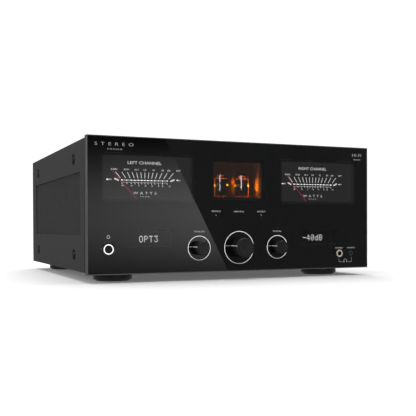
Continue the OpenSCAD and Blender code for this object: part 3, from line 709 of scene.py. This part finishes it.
ink_y = -0.03
knob_z = 33.0
selector_x = 60.3
power_x = -186.8
jack_x, small_jack_x, jack_z = 165.1, 184.9, 22.0
front_marks = [lettering(words, width, x, ink_y, z, height) for words, width, x, z, height in (
    ("ANALOG", 15.8, -selector_x, 55.5, 2.1),
    ("DIGITAL", 13.6, selector_x, 55.4, 2.1),
    ("PROTECT", 13.4, -34.9, 83.0, 2.0),
    ("L", 1.3, -34.9, 78.0, 2.0),
    ("HIGH BIAS", 15.2, -0.4, 83.0, 2.0),
    ("PROTECT", 13.3, 34.7, 83.0, 2.0),
    ("R", 1.5, 34.7, 78.0, 2.0),
    ("PHONES 1", 13.2, 164.6, 30.2, 1.7),
    ("PHONES 2", 13.2, 185.4, 30.2, 1.7),
)]
front_marks.append(strip(arc(power_x - 0.3, 49.1, 1.9, 0, 360), 0.3, ink_y))
printed("front_printing", front_marks, print_white)

grey_print_and_reflections = [
    lettering("STEREO", 51.8, -178.7, ink_y, 169.0, 4.0, bold=-0.012, spacing=1.9),
    lettering("SOUND", 20.0, -178.0, ink_y, 162.5, 1.9, spacing=1.5),
    lettering("HI-FI", 15.6, 195.6, ink_y, 168.2, 4.6, bold=-0.014),
    lettering("SERIES", 12.0, 196.0, ink_y, 161.6, 1.7),
]
grey_print_and_reflections += [strip(path, half, ink_y) for path, half in (
    ([(164.0, 14.0), (164.0, 10.4), (165.0, 9.4), (170.4, 9.4)], 0.2),
    ([(180.2, 9.2), (185.0, 9.2), (186.0, 10.2), (186.0, 15.5)], 0.2),
    (arc(175.3, 11.0, 2.6, -10, 190), 0.25),
    ([(172.8, 11.2), (172.8, 8.6)], 0.55),
    ([(177.8, 11.2), (177.8, 8.6)], 0.55),
    # Painted reflection: these three strips at knob height paint the knobs' side highlights
    # mirrored in the polished plate.
    ([(-21.9, knob_z + 2.6), (-14.4, knob_z + 2.6)], 0.3),
    ([(-selector_x - 15.8, knob_z + 1.8), (-selector_x - 10.0, knob_z + 1.8)], 0.3),
    ([(selector_x - 15.8, knob_z + 1.8), (selector_x - 10.0, knob_z + 1.8)], 0.3),
)]

printed("grey_printing_and_reflections", grey_print_and_reflections, print_grey_and_reflection)

# ---- Knobs ----
# Turned aluminium, black anodised, with a fine spun face and a small chamfer. A white strip along
# the side, 11 degrees above the left, is a painted highlight of a light at the left. White rings
# are inlaid in the plate round them.


def spun_face(name, dark, light, rough):
    """Anodised turning: fine rings round the knob's middle, on coordinates UV (radius, turn)."""
    material, tree, surface = new_finish(name)
    place = tree.nodes.new("ShaderNodeUVMap")
    place.uv_map = "turning"
    rings = grain(tree, 1.0, 2.0, (1400.0, 0.6, 1.0), 0.5, place)
    feed(tree, surface, {"Base Color": tint(tree, rings, dark, light),
                         "Roughness": spread(tree, rings, *rough), "Metallic": 0.9})
    relief(tree, surface, rings, 0.00001, 0.4)
    return material


knob_anodise = spun_face("knob_anodise", (0.034, 0.034, 0.036), (0.060, 0.060, 0.062),
                         (0.24, 0.36))
painted_side_highlight = finish("painted_side_highlight", 0.80, 0.90, (0.4, 0.5), scale=1500, glow=0.15)


def turned_uv(mesh, centre):
    """Writes each corner's distance from the turning axis along Y, and its turn, as UV metres."""
    layer = mesh.uv_layers.new(name="turning")
    corner_vertex = np.empty(len(mesh.loops), int)
    mesh.loops.foreach_get("vertex_index", corner_vertex)
    points = np.empty(len(mesh.vertices) * 3)
    mesh.vertices.foreach_get("co", points)
    from_axis = points.reshape(-1, 3)[corner_vertex] - np.array(centre)
    radius = np.hypot(from_axis[:, 0], from_axis[:, 2]) + np.abs(from_axis[:, 1])
    turn = np.abs(np.arctan2(from_axis[:, 0], from_axis[:, 2])) / pi
    layer.data.foreach_set("uv", np.stack([radius, turn], -1).ravel())


def knob(node, body, x, r, length):
    """Knob's profile from its back to its slightly dished face, with a white strip along its side
    that is a painted highlight.
    """
    back = -0.6
    profile = [(3.1, 0.0), (r - 0.5, 0.0), (r - 0.15, 0.1), (r, 0.4), (r, length - 0.7),
               (r - 0.12, length - 0.45), (r - 0.6, length - 0.05), (r - 0.9, length),
               (r - 1.4, length - 0.02), (r * 0.5, length - 0.10), (0.0, length - 0.12)]
    mesh = turned_mesh(node + "_turning", profile, [(x, back, knob_z)], (0, -1, 0), 160, 24)
    turned_uv(mesh, at(x, back, knob_z))
    place_piece(node + "_turning", mesh, [knob_anodise], body, [node])
    # Painted highlight: a white strip where a light at the left lights the side; it glows a little
    # so that its mirror in the plate shows.
    tilt = radians(11)
    out = np.array([-cos(tilt), 0, sin(tilt)])
    across = np.array([sin(tilt), 0, cos(tilt)]) * 0.34
    low, high = back - 0.45, back - length + 0.5
    points = [at(*(np.array([x, y, knob_z]) + out * reach + across * s))
              for reach in (r + 0.03, r - 0.4)
              for y, s in ((low, -1), (low, 1), (high, 1), (high, -1))]
    line = new_mesh(node + "_index", points, [(0, 1, 2, 3), (7, 6, 5, 4), (0, 4, 5, 1),
                                              (1, 5, 6, 2), (2, 6, 7, 3), (3, 7, 4, 0)])
    ease(place_piece(node + "_index", smoothed(line), [painted_side_highlight], body), 0.0001)


knob("volume_knob", "volume", 0.0, 13.5, 19.4)
knob("analog_knob", "analog_selector", -selector_x, 9.4, 15.2)
knob("digital_knob", "digital_selector", selector_x, 9.4, 15.2)
ring_white = finish("ring_white", 0.62, 0.72, (0.3, 0.4), scale=1500)
paint_node("knob_rings", ring_white)
shaft_steel = finish("shaft_steel", (0.5, 0.5, 0.51), (0.62, 0.62, 0.63), (0.25, 0.35), metal=1.0,
                     scale=900, stretch=(1, 12, 1))
for node in ("volume_shaft", "analog_shaft", "digital_shaft"):
    paint_node(node, shaft_steel)

# ---- Power button ----
# A black chromed collar, a lit ring that is one moulded light guide, and a satin black button
# that slides in it against a spring.

black_chrome = finish("black_chrome", (0.030, 0.030, 0.032), (0.045, 0.045, 0.048), (0.12, 0.2),
                      metal=0.9, scale=800, depth=0.000005, coat=0.5)
ring_lit = finish("ring_lit", 0.42, 0.50, (0.4, 0.5), scale=700, glow=1.6)
button_satin = spun_face("button_satin", (0.030, 0.030, 0.031), (0.050, 0.050, 0.052),
                         (0.3, 0.45))
moulded_black = finish("moulded_black", 0.010, 0.018, (0.45, 0.65), scale=1100, depth=0.00003)
spring_steel = finish("spring_steel", (0.45, 0.45, 0.46), (0.6, 0.6, 0.61), (0.25, 0.35),
                      metal=1.0, scale=1500)
collar_profile = [(6.66, -13.0), (9.0, -13.0), (9.0, -0.05), (10.3, -0.05), (10.3, 0.15),
                  (10.15, 0.5), (9.8, 0.82), (9.3, 0.98), (8.3, 0.7), (7.4, 0.6), (6.9, 0.6),
                  (6.66, 0.45), (6.66, -13.0)]
button_place = (power_x, 0, knob_z)
turned_piece("power_collar", collar_profile, [button_place], (0, -1, 0), 128, black_chrome,
             stands_for=["power_bezel"], sharp=40)
guide_profile = [(5.36, -9.0), (6.58, -9.0), (6.58, 0.4), (6.4, 0.62), (6.0, 0.7), (5.55, 0.62),
                 (5.36, 0.4), (5.36, -9.0)]
turned_piece("power_ring_lit", guide_profile, [button_place], (0, -1, 0), 96, ring_lit,
             stands_for=["power_light_ring"], sharp=40)
button_profile = [(0, 0.72), (3.5, 0.78), (4.4, 0.98), (4.8, 0.98), (5.1, 0.85), (5.28, 0.55),
                  (5.28, -9.3), (6.18, -9.3), (6.18, -10.5), (1.5, -10.5), (1.5, -14.2), (0, -14.2)]
button_cap = turned_piece("power_button_cap", button_profile, [button_place], (0, -1, 0), 96,
                          button_satin, "power_button", ["power_button"])
turned_uv(button_cap.data, at(*button_place))
paint_node("power_spring", spring_steel)
eased("power_switch", moulded_black, 0.0004)

# ---- Headphone sockets ----
# A large socket with a champagne plated bush and a small black one, both moulded bodies on a
# board, with bright contact springs deep in their holes.

champagne_plate = finish("champagne_plate", (0.80, 0.71, 0.56), (0.92, 0.83, 0.68), (0.18, 0.28),
                         metal=0.78, scale=900, depth=0.000008)
socket_dark = finish("socket_dark", 0.004, 0.008, (0.6, 0.8), scale=900)
small_bush = finish("small_bush", 0.018, 0.030, (0.3, 0.45), scale=900, depth=0.00001)


def board_green(name):
    """Solder mask over copper tracks: green with a lighter maze of lines and a slight gloss."""
    material, tree, surface = new_finish(name)
    tracks = wired(tree, "TexBrick", {
        "Vector": own_place(tree), "Scale": 160.0, "Color1": (0.012, 0.085, 0.030, 1),
        "Color2": (0.016, 0.110, 0.038, 1), "Mortar": (0.030, 0.190, 0.065, 1),
        "Mortar Size": 0.03})
    feed(tree, surface, {"Base Color": tracks.outputs["Color"],
                         "Roughness": spread(tree, grain(tree, 300), 0.25, 0.4)})
    relief(tree, surface, tracks.outputs["Fac"], 0.00003)
    return material


green_board = board_green("green_board")


def jack_socket(node, x, hole, bush, plating):
    """CAD socket with its parts told apart: plated bush, dark bore and moulded body."""
    piece = eased(node, plating, 0.00015)
    piece.data.materials.append(socket_dark)
    piece.data.materials.append(moulded_black)
    middle = at(x, 0, jack_z)
    for face in piece.data.polygons:
        out = Vector((face.center.x - middle.x, 0, face.center.z - middle.z)).length / MM
        deep = (face.center.y - front_y) / MM
        if out < hole + 0.1 and deep > 0.2:
            face.material_index = 1
        elif out > bush + 0.5 or deep > 10.5:
            face.material_index = 2


jack_socket("headphone_jack", jack_x, 3.2, 5.45, champagne_plate)
jack_socket("earphone_jack", small_jack_x, 1.8, 3.5, small_bush)
eased("headphone_board", green_board, 0.0001)

# ---- Displays ----
# Two matrix displays behind smoked windows: a dark filter, and lit dots in 5 by 7 cells.

filter_glass = finish("filter_glass", (0.05, 0.05, 0.052), (0.07, 0.07, 0.072), (0.5, 0.6),
                      scale=600, specular=0.1)
dot_lit = finish("dot_lit", (0.84, 0.86, 0.88), (0.94, 0.96, 0.98), (0.5, 0.6), scale=900,
                 glow=6.0)
eased("displays", filter_glass, 0.0003)
cell_shapes = {
    "O": "01110 10001 10001 10001 10001 10001 01110",
    "P": "11110 10001 10001 11110 10000 10000 10000",
    "T": "11111 00100 00100 00100 00100 00100 00100",
    "3": "11111 00010 00100 00010 00001 10001 01110",
    "-": "00000 00000 00000 11111 00000 00000 00000",
    "4": "00010 00110 01010 10010 11111 00010 00010",
    "0": "01110 10001 10011 10101 11001 10001 01110",
    "d": "00001 00001 01101 10011 10001 10001 01111",
    "B": "11110 10001 10001 11110 10001 10001 11110",
}


def matrix_text(words, centre_x, centre_z, y):
    """Lit dots of each letter: a new cell every cell_step, dots dot_step apart, in mm."""
    cell_step, dot_step = 7.0, (1.05, 1.22)
    lit = [(cell_step * k + dot_step[0] * column, -dot_step[1] * row)
           for k, letter in enumerate(words)
           for row, bits in enumerate(cell_shapes[letter].split())
           for column, bit in enumerate(bits) if bit == "1"]
    width = cell_step * (len(words) - 1) + 4 * dot_step[0]
    middle = np.array(lit) + (centre_x - width / 2, centre_z + 3 * dot_step[1])
    corner = np.array([(-0.36, -0.42), (0.36, -0.42), (0.36, 0.42), (-0.36, 0.42)])
    flat = (middle[:, None] + corner[None]).reshape(-1, 2)
    return on_plane(flat, y), np.arange(len(flat)).reshape(-1, 4).tolist()


printed("display_dots", [matrix_text("OPT3", -129.5, 45.8, 9.42),
                         matrix_text("-40dB", 124.2, 45.8, 9.42)], dot_lit)

# ---- Meters ----
# Two black meters: a stepped black case, a dark dial with a white print, a thin red needle on a pin
# and a moving-coil unit behind the dial. Case, dial, print and needle glow with painted light that
# stands for a lamp above the dial, which is not in the scene.

# Painted light: case, dial, print and needle glow in place of the light of a meter lamp.
case_black_painted_glow = finish("case_black_painted_glow", 0.014, 0.020, (0.6, 0.8), scale=900, depth=0.00002, glow=4.6)
dial_dark_painted_glow = finish("dial_dark_painted_glow", 0.012, 0.018, (0.75, 0.9), scale=1200, depth=0.00001, glow=5.0)
dial_print_painted_glow = finish("dial_print_painted_glow", 0.80, 0.90, (0.6, 0.7), scale=1500, glow=3.4)
needle_red = finish("needle_red", (0.42, 0.030, 0.050), (0.55, 0.045, 0.07), (0.4, 0.5), scale=900,
                    glow=2.6)
coil_metal = finish("coil_metal", (0.35, 0.35, 0.36), (0.5, 0.5, 0.52), (0.3, 0.45), metal=0.8,
                    scale=500, depth=0.00002)
meter_x = 131.0
pivot_z = 85.3
dial_y = 19.5
tick_turn = 6.55


def disc(x, z, r, y):
    """Round dot as one polygon."""
    return on_plane(arc(x, z, r, 0, 360, 12)[:-1], y), [list(range(12))]


def dial_marks(x, title):
    """Print of one dial: title, two scales of thirteen radial marks, numbers and unit words."""
    y = dial_y - 0.04
    marks = [lettering(title, 47.8, x, y, 147.7, 4.0, bold=0.004)]
    for k in range(-6, 7):
        lean = tan(radians(k * tick_turn))
        dot_x = x + (124.4 - pivot_z) * lean
        low_x = x + (124.3 - pivot_z) * lean
        marks += [strip([(x + (z - pivot_z) * lean, z) for z in (127.0, 134.9)], 0.42, y),
                  disc(dot_x, 124.3, 0.8, y),
                  strip([(low_x - 0.3, 121.3), (low_x + 0.3, 119.1)], 0.35, y)]
    marks += [strip([(x + x1, z1), (x + x2, z2)], half, y) for x1, z1, x2, z2, half in (
        (-32.7, 124.3, 32.7, 124.3, 0.32), (-31.4, 121.4, 31.4, 121.4, 0.16),
        (-36.3, 123.6, -42.4, 126.3, 1.0), (36.3, 123.6, 42.4, 126.3, 1.0))]
    upper = ((-42.6, 8.6, "0.001"), (-25.6, 7.0, "0.01"), (-11.5, 5.0, "0.1"), (0.0, 3.6, "1.0"),
             (12.4, 2.6, "10"), (25.4, 3.2, "50"), (34.2, 4.2, "100"), (47.9, 6.4, "WATT"))
    lower = ((-31.3, 3.4, "-20"), (-18.8, 3.0, "-10"), (-8.6, 2.6, "-7"), (0.5, 2.6, "-5"),
             (9.8, 2.4, "-3"), (19.6, 1.6, "0"), (25.2, 1.0, "1"), (35.0, 2.8, "+3"))
    rows = [(*mark, 138.4, 2.2, 0.012, 1.0) for mark in upper]
    rows += [(*mark, 117.1, 1.9, 0.01, 1.0) for mark in lower]
    rows += [(-49.6, 6.8, "MIN", 124.8, 2.0, 0.012, 1.0),
             (48.2, 5.8, "MAX", 125.4, 2.0, 0.012, 1.0),
             (0.0, 32.6, "WATTS", 107.3, 3.3, -0.002, 1.9),
             (0.0, 13.0, "PEAK", 102.7, 1.4, -0.004, 1.9)]
    return marks + [lettering(words, wide, x + middle, y, z, height, bold, spacing)
                    for middle, wide, words, z, height, bold, spacing in rows]


printed("dial_print_left", dial_marks(-meter_x, "LEFT CHANNEL"), dial_print_painted_glow)
printed("dial_print_right", dial_marks(meter_x, "RIGHT CHANNEL"), dial_print_painted_glow)
eased("meter_cases", case_black_painted_glow, 0.0004)
paint_node("meter_left_dial", dial_dark_painted_glow)
paint_node("meter_right_dial", dial_dark_painted_glow)
eased("meter_movements", coil_metal, 0.0005)


def meter_needle(node, body, x):
    """Turned pin and hub with a flat blade that narrows to its tip, leaning 42 degrees left."""
    hub = [(0, 1.4), (3.2, 1.4), (4.0, 1.0), (4.0, 0.0), (1.0, 0.0), (1.0, -17.1), (0, -17.1)]
    mesh = turned_mesh(node + "_blade", hub, [(x, dial_y - 1.6, 85.0)], (0, -1, 0), 32)
    lean = radians(42)
    up = np.array([-sin(lean), 0, cos(lean)])
    across = np.array([cos(lean), 0, sin(lean)])
    outline = np.array([(-9.0, 0.45), (0.0, 0.75), (12.0, 0.36), (69.4, 0.24)])
    edge = np.concatenate([outline * (1, -1), outline[::-1]])
    flat = edge[:, :1] * up + edge[:, 1:] * across
    rows = [flat + (x, dial_y - 3.0, 85.0), flat + (x, dial_y - 2.5, 85.0)]
    points = [at(*p) for p in np.concatenate(rows)]
    n = len(flat)
    faces = [list(range(n)), list(range(2 * n - 1, n - 1, -1))]
    faces += [[i, n + i, n + (i + 1) % n, (i + 1) % n] for i in range(n)]
    blade = new_mesh(node + "_flat", points, faces)
    joined = bmesh.new()
    joined.from_mesh(mesh)
    joined.from_mesh(blade)
    bmesh.ops.recalc_face_normals(joined, faces=joined.faces)
    joined.to_mesh(mesh)
    joined.free()
    mesh.set_sharp_from_angle(angle=radians(30))
    place_piece(node + "_blade", mesh, [needle_red], body, [node])


meter_needle("meter_left_needle", "left_needle", -meter_x)
meter_needle("meter_right_needle", "right_needle", meter_x)

# ---- Valves ----
# Two small double triodes in a dark chamber with two bays: blown glass with a sealed tip, mica
# discs, ribbed anodes and a getter ring, lit by an amber lamp bead in each bay. Chamber walls,
# anodes, micas and outer posts glow with painted amber light, and small glowing beads by the side
# posts are painted glints at the bulbs' edges.

# Painted light: the dark brown chamber and the grey anodes glow.
chamber_brown = finish("chamber_brown", (0.038, 0.021, 0.014), (0.052, 0.029, 0.020), (0.6, 0.8),
                       scale=500, depth=0.00002, glow=1.6)
bulb_glass = clear_polish("bulb_glass", 2.0, (0.03, 0.06))
bulb_inner = see_through("bulb_inner")
anode_grey_painted_glow = finish("anode_grey_painted_glow", (0.030, 0.022, 0.022), (0.060, 0.045, 0.045), (0.35, 0.55),
                    metal=0.6, scale=600, depth=0.00002, glow=0.8)
# Painted light: micas and shields are coloured amber and glow, standing for the amber lamps' light
# on them.
mica = finish("mica", (0.80, 0.16, 0.01), (1.0, 0.24, 0.02), (0.3, 0.45), scale=400, depth=0.00001,
              glow=1.9)
mica_dull = finish("mica_dull", (0.45, 0.07, 0.03), (0.62, 0.10, 0.04), (0.3, 0.45), scale=400,
                   depth=0.00001, glow=1.0)
# Painted glint: bright beads that stand for amber light caught at the bulbs' edges.
painted_glint_glow = finish("painted_glint_glow", (1.0, 0.42, 0.03), (1.0, 0.55, 0.05), (0.5, 0.6), scale=500,
                    glow=13.0)
# Painted light: the outer posts are orange and glow, standing for amber light along the bulbs'
# edges.
post_painted_amber_glow = finish("post_painted_amber_glow", (0.85, 0.13, 0.01), (1.0, 0.18, 0.02), (0.3, 0.4), metal=0.5,
                   scale=500, glow=3.0)
cathode_hot = finish("cathode_hot", (1.0, 0.16, 0.02), (1.0, 0.25, 0.04), (0.6, 0.7), scale=500,
                     glow=1.5)
amber_bead = finish("amber_bead", (1.0, 0.38, 0.04), (1.0, 0.48, 0.07), (0.3, 0.4), scale=500,
                    glow=2.2)
lead_wire = finish("lead_wire", 0.6, 0.75, (0.2, 0.3), metal=1.0, scale=900)
valve_x, valve_y, valve_base_z = 16.5, 25.2, 96.0
paint_node("valve_lamps", amber_bead)
eased("valve_chamber", chamber_brown, 0.0003)


def glass_bulb(node, x):
    """Bulb's outline swept round, outside then inside: base, straight side, dome, sealed tip."""
    turns = np.radians(np.arange(0, 81, 10))
    outside = [(0, 0.3), (7.0, 0.0), (10.2, 0.5), (11.0, 2.0), (11.0, 37.0)]
    outside += list(zip(1.8 + 9.2 * np.cos(turns), 39.5 + 8.2 * np.sin(turns)))
    outside += [(1.9, 48.4), (1.4, 49.8), (0.8, 51.3), (0, 52.0)]
    inside = [(0, 48.2), (1.2, 47.4)]
    inside += list(zip(1.4 + 8.8 * np.cos(turns[::-1]), 39.2 + 7.6 * np.sin(turns[::-1])))
    inside += [(10.2, 36.8), (10.2, 2.6), (9.0, 1.2), (0, 1.0)]
    mesh = turned_mesh(node + "_glass", outside + inside, [(x, valve_y, valve_base_z)],
                       (0, 0, 1), 96, 60)
    place_piece(node + "_glass", mesh, [bulb_glass, bulb_inner], stands_for=[node])
    middle = at(x, valve_y, valve_base_z)
    for face in mesh.polygons:
        out = face.center - middle
        if face.normal.dot(Vector((out.x, out.y, 0.5 * out.z))) < 0:
            face.material_index = 1


glass_bulb("valve_left", -valve_x)
glass_bulb("valve_right", valve_x)


def in_valves(z, offsets=(0.0,)):
    """Places in both valves, at a height over the base and at offsets across from the middle."""
    return [(x + offset, valve_y, valve_base_z + z)
            for x in (-valve_x, valve_x) for offset in offsets]


def rod(r, height):
    """Profile of a plain rod or disc."""
    return [(0, 0), (r, 0), (r, height), (0, height)]


pin_places = [(x + 5.95 * cos(a), y + 5.95 * sin(a), z)
              for x, y, z in in_valves(-6.0) for a in np.radians(36.0 * np.arange(9))]
turned_piece("valve_pins", [(0, 0), (0.3, 0.0), (0.5, 0.4), (0.5, 6.2), (0, 6.2)], pin_places,
             (0, 0, 1), 12, lead_wire)


def ribbed_anode(centre_x, centre_y, low, high):
    """Pressed box round a triode: superellipse section with a rib wave along its height."""
    count, rings = 32, 25
    turn = np.arange(count) * 2 * pi / count
    power = 0.45
    section_x = 3.1 * np.sign(np.cos(turn)) * np.abs(np.cos(turn)) ** power
    section_y = 3.3 * np.sign(np.sin(turn)) * np.abs(np.sin(turn)) ** power
    height = np.linspace(low, high, rings)[:, None]
    swell = 1 + 0.05 * np.sin(height * 2 * pi / 5.0)
    points = np.stack([centre_x + section_x * swell, centre_y + section_y * swell,
                       np.broadcast_to(height, (rings, count))], -1).reshape(-1, 3)
    ends = [list(range(count - 1, -1, -1)), list(range((rings - 1) * count, rings * count))]
    return points, bands(rings, count).tolist() + ends


def joined_shapes(name, shapes):
    """Joins (points in mm, faces) pairs to one smooth mesh."""
    points, faces = joined_lists(shapes)
    return smoothed(new_mesh(name, points * MM + np.array(at(0, 0, 0)), faces), 35)


triodes = (-4.2, 4.2)
anodes = [ribbed_anode(x, y, z, z + 23.5) for x, y, z in in_valves(10.0, triodes)]
place_piece("valve_anodes", joined_shapes("valve_anodes", anodes), [anode_grey_painted_glow],
            stands_for=["valve_electrodes"])
mica_disc = [(0, 0), (9.3, 0), (9.6, 0.1), (9.6, 0.4), (9.3, 0.5), (0, 0.5)]
side_posts = [(x, valve_y + y, valve_base_z + 9.5)
              for x, y in ((-24.1, 4.0), (-8.1, -4.0), (8.1, 4.0), (24.9, -4.0))]
# Small glowing beads on the side posts paint the amber glints at the bulbs' edges.
glint_bead_turns = np.linspace(-pi / 2, pi / 2, 9)
glint_bead_profile = list(zip(0.95 * np.cos(glint_bead_turns), 24.6 + 1.7 * np.sin(glint_bead_turns)))
glint_bead_places = [(x, y, valve_base_z) for x, y, _ in side_posts]
for name, profile, places, segments, material in (
        ("valve_lower_micas", mica_disc, in_valves(9.0), 48, mica_dull),
        ("valve_upper_micas", mica_disc, in_valves(33.8), 48, mica),
        ("valve_shields", rod(5.4, 0.4), in_valves(37.8), 48, mica),
        ("valve_getters", [(4.4, 0), (5.0, 0), (5.0, 0.8), (4.4, 0.8), (4.4, 0)],
         in_valves(41.0), 40, lead_wire),
        ("valve_cathodes", rod(0.8, 29.0), in_valves(7.0, triodes), 16, cathode_hot),
        ("valve_posts", rod(0.4, 24.3), side_posts[::3], 12, post_painted_amber_glow),
        ("valve_inner_posts", rod(0.4, 24.3), side_posts[1:3], 12, anode_grey_painted_glow),
        ("valve_edge_glints", glint_bead_profile, glint_bead_places, 20, painted_glint_glow)):
    turned_piece(name, profile, places, (0, 0, 1), segments, material)

ceramic = finish("ceramic", (0.62, 0.58, 0.50), (0.74, 0.70, 0.62), (0.4, 0.55), scale=500,
                 depth=0.00001)
eased("valve_sockets", ceramic, 0.0003)
eased("valve_board", green_board, 0.0001)


def amber_lamp(name, x, y, z, power, size):
    """Small amber area light that stands for a bead's glow and looks across its bay."""
    lamp = soft_light(name, at(x, y, z), at(x + 30, y, z), (size * MM, size * MM), power,
                      (1.0, 0.27, 0.0), mirrored=False)
    lamp.data.spread = radians(125)
    lamp.visible_camera = False


amber_lamp("amber_left", -8.0, 13.5, 120.0, 0.12, 3.0)
amber_lamp("amber_right", 28.0, 15.5, 119.5, 0.085, 3.0)


def glint_lamp(name, x, low, high):
    """Narrow white lamp at the left front of a bay, which only the bulb's polish mirrors."""
    lamp = soft_light(name, at(x, 7.4, (low + high) / 2), at(x + 10, 14.5, (low + high) / 2),
                      (4.0 * MM, (high - low) * MM), 0.0045, (1.0, 0.9, 1.0))
    lamp.visible_camera = lamp.visible_diffuse = lamp.visible_transmission = False


glint_lamp("glint_left", -28.6, 108.5, 137.0)
glint_lamp("glint_right", 4.4, 112.5, 136.0)

# ---- Rear sockets ----
# Gold plated phono sockets with coloured inserts, optical sockets with shutters, a mains inlet and
# switch, and four speaker posts with knurled screw caps. Names are printed over them.

gold_plate = finish("gold_plate", (0.70, 0.48, 0.16), (0.85, 0.62, 0.26), (0.15, 0.28), metal=1.0,
                    scale=900, depth=0.000006)
insert_red = finish("insert_red", (0.40, 0.012, 0.012), (0.52, 0.020, 0.020), (0.35, 0.5),
                    scale=700)
insert_white = finish("insert_white", (0.72, 0.72, 0.70), (0.82, 0.82, 0.80), (0.35, 0.5),
                      scale=700)
blade_metal = finish("blade_metal", 0.6, 0.75, (0.2, 0.35), metal=1.0, scale=900)
rocker_red = finish("rocker_red", (0.45, 0.015, 0.015), (0.55, 0.025, 0.022), (0.25, 0.4),
                    scale=700, coat=0.2)
rear_y = (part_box("rear_panel")[1].y - front_y) / MM
eased("phono_sockets", gold_plate, 0.0002)
phono_places = [37.0 + 22.0 * k for k in range(7)]
insert_ring = [(4.35, 0), (6.4, 0), (6.7, 0.3), (6.7, 1.0), (6.3, 1.4), (4.35, 1.4), (4.35, 0)]
for name, row_z, insert in (("phono_inserts_red", 122.0, insert_red),
                            ("phono_inserts_white", 146.0, insert_white)):
    turned_piece(name, insert_ring, [(x, rear_y + 0.4, row_z) for x in phono_places], (0, 1, 0),
                 40, insert)
eased("optical_sockets", moulded_black, 0.0003)
inlet = eased("mains_inlet", moulded_black, 0.0005)
inlet.data.materials.append(blade_metal)
for face in inlet.data.polygons:
    x, y, z = local(face.center)
    if abs(x + 175) < 8.2 and abs(z - 45) < 5.0 and y > rear_y - 15.8:
        face.material_index = 1
eased("mains_switch", moulded_black, 0.0004)
eased("mains_rocker", rocker_red, 0.0006)
eased("speaker_posts", gold_plate, 0.0003)


def knurled_cap(node, body, x, material):
    """Screw cap: profile swept round with a radius that ripples 36 times along its grip."""
    count = 216
    turn = np.arange(count) * 2 * pi / count
    outline = np.array([(4.1, 0, 0), (7.2, 0, 0), (7.7, 0.5, 0), (7.7, 1.2, 1), (7.7, 12.5, 1),
                        (7.6, 13.4, 0), (7.0, 15.2, 0), (6.2, 15.7, 0), (2.45, 15.7, 0),
                        (2.45, 14.0, 0), (4.1, 13.9, 0), (4.1, 0, 0)])
    radius, along, grip = outline.T[:, :, None]
    radius = radius + grip * 0.28 * np.cos(36 * turn)
    points = np.stack([x + radius * np.cos(turn),
                       np.broadcast_to(rear_y + 2.3 + along, radius.shape),
                       42.0 + radius * np.sin(turn)], -1).reshape(-1, 3)
    shape = joined_shapes(node + "_knurled", [(points, bands(len(outline), count))])
    place_piece(node + "_knurled", shape, [material], body, [node])


cap_black = finish("cap_black", 0.012, 0.020, (0.3, 0.45), scale=700, coat=0.2)
for k, (x, material) in enumerate(((-78.0, cap_black), (-52.0, insert_red), (52.0, cap_black),
                                   (78.0, insert_red)), start=1):
    knurled_cap(f"post_cap_{k}", f"cap_{k}", x, material)


def rear_lettering(words, width, x, z, height):
    """Letters on the rear panel, readable from behind."""
    return lettering(words, width, x, rear_y + 0.03, z, height, turn=(0, 1))


rear_marks = [rear_lettering(*row) for row in (
    ("SPEAKERS RIGHT", 34.0, -65.0, 58.0, 2.4), ("SPEAKERS LEFT", 32.0, 65.0, 58.0, 2.4),
    ("DIGITAL IN", 24.0, -83.0, 147.0, 2.4), ("ANALOG IN / OUT", 40.0, 103.0, 159.5, 2.4),
    ("MAINS", 14.0, -175.0, 62.5, 2.4), ("POWER", 14.0, -175.0, 108.0, 2.4))]
rear_marks += [rear_lettering(str(k), 1.6, x, 134.0, 2.2) for k, x in enumerate(phono_places, 1)]
rear_marks += [rear_lettering(str(k + 1), 1.6, -105.0 + 22.0 * k, 124.5, 2.2) for k in range(3)]

printed("rear_printing", rear_marks, print_white, facing=1)

# ---- Inside ----
# Boards, ring transformer under a dished plate, four filter capacitors, two finned heatsinks with
# their output transistors, and the encoders behind the knobs.

copper_wrap = finish("copper_wrap", (0.45, 0.20, 0.09), (0.62, 0.30, 0.14), (0.3, 0.5), metal=0.6,
                     scale=120, depth=0.0002, stretch=(1, 1, 8))
clamp_steel = finish("clamp_steel", (0.5, 0.5, 0.5), (0.65, 0.65, 0.66), (0.25, 0.4), metal=1.0,
                     scale=500, depth=0.00001)
can_sleeve = finish("can_sleeve", (0.012, 0.018, 0.060), (0.020, 0.028, 0.085), (0.3, 0.42),
                    scale=350, coat=0.3)
sink_anodise = finish("sink_anodise", (0.018, 0.018, 0.019), (0.030, 0.030, 0.031), (0.4, 0.55),
                      metal=0.5, scale=900, stretch=(1, 1, 0.1), depth=0.00002)
for node, material, width in (
        ("control_board", green_board, 0.0001), ("encoders", coil_metal, 0.0003),
        ("transformer", copper_wrap, 0.001), ("transformer_clamp", clamp_steel, 0.0004),
        ("power_board", green_board, 0.0001), ("filter_capacitors", can_sleeve, 0.0012),
        ("amplifier_boards", green_board, 0.0001), ("output_transistors", moulded_black, 0.0004),
        ("heatsinks", sink_anodise, 0.0003), ("input_board", green_board, 0.0001)):
    eased(node, material, width)
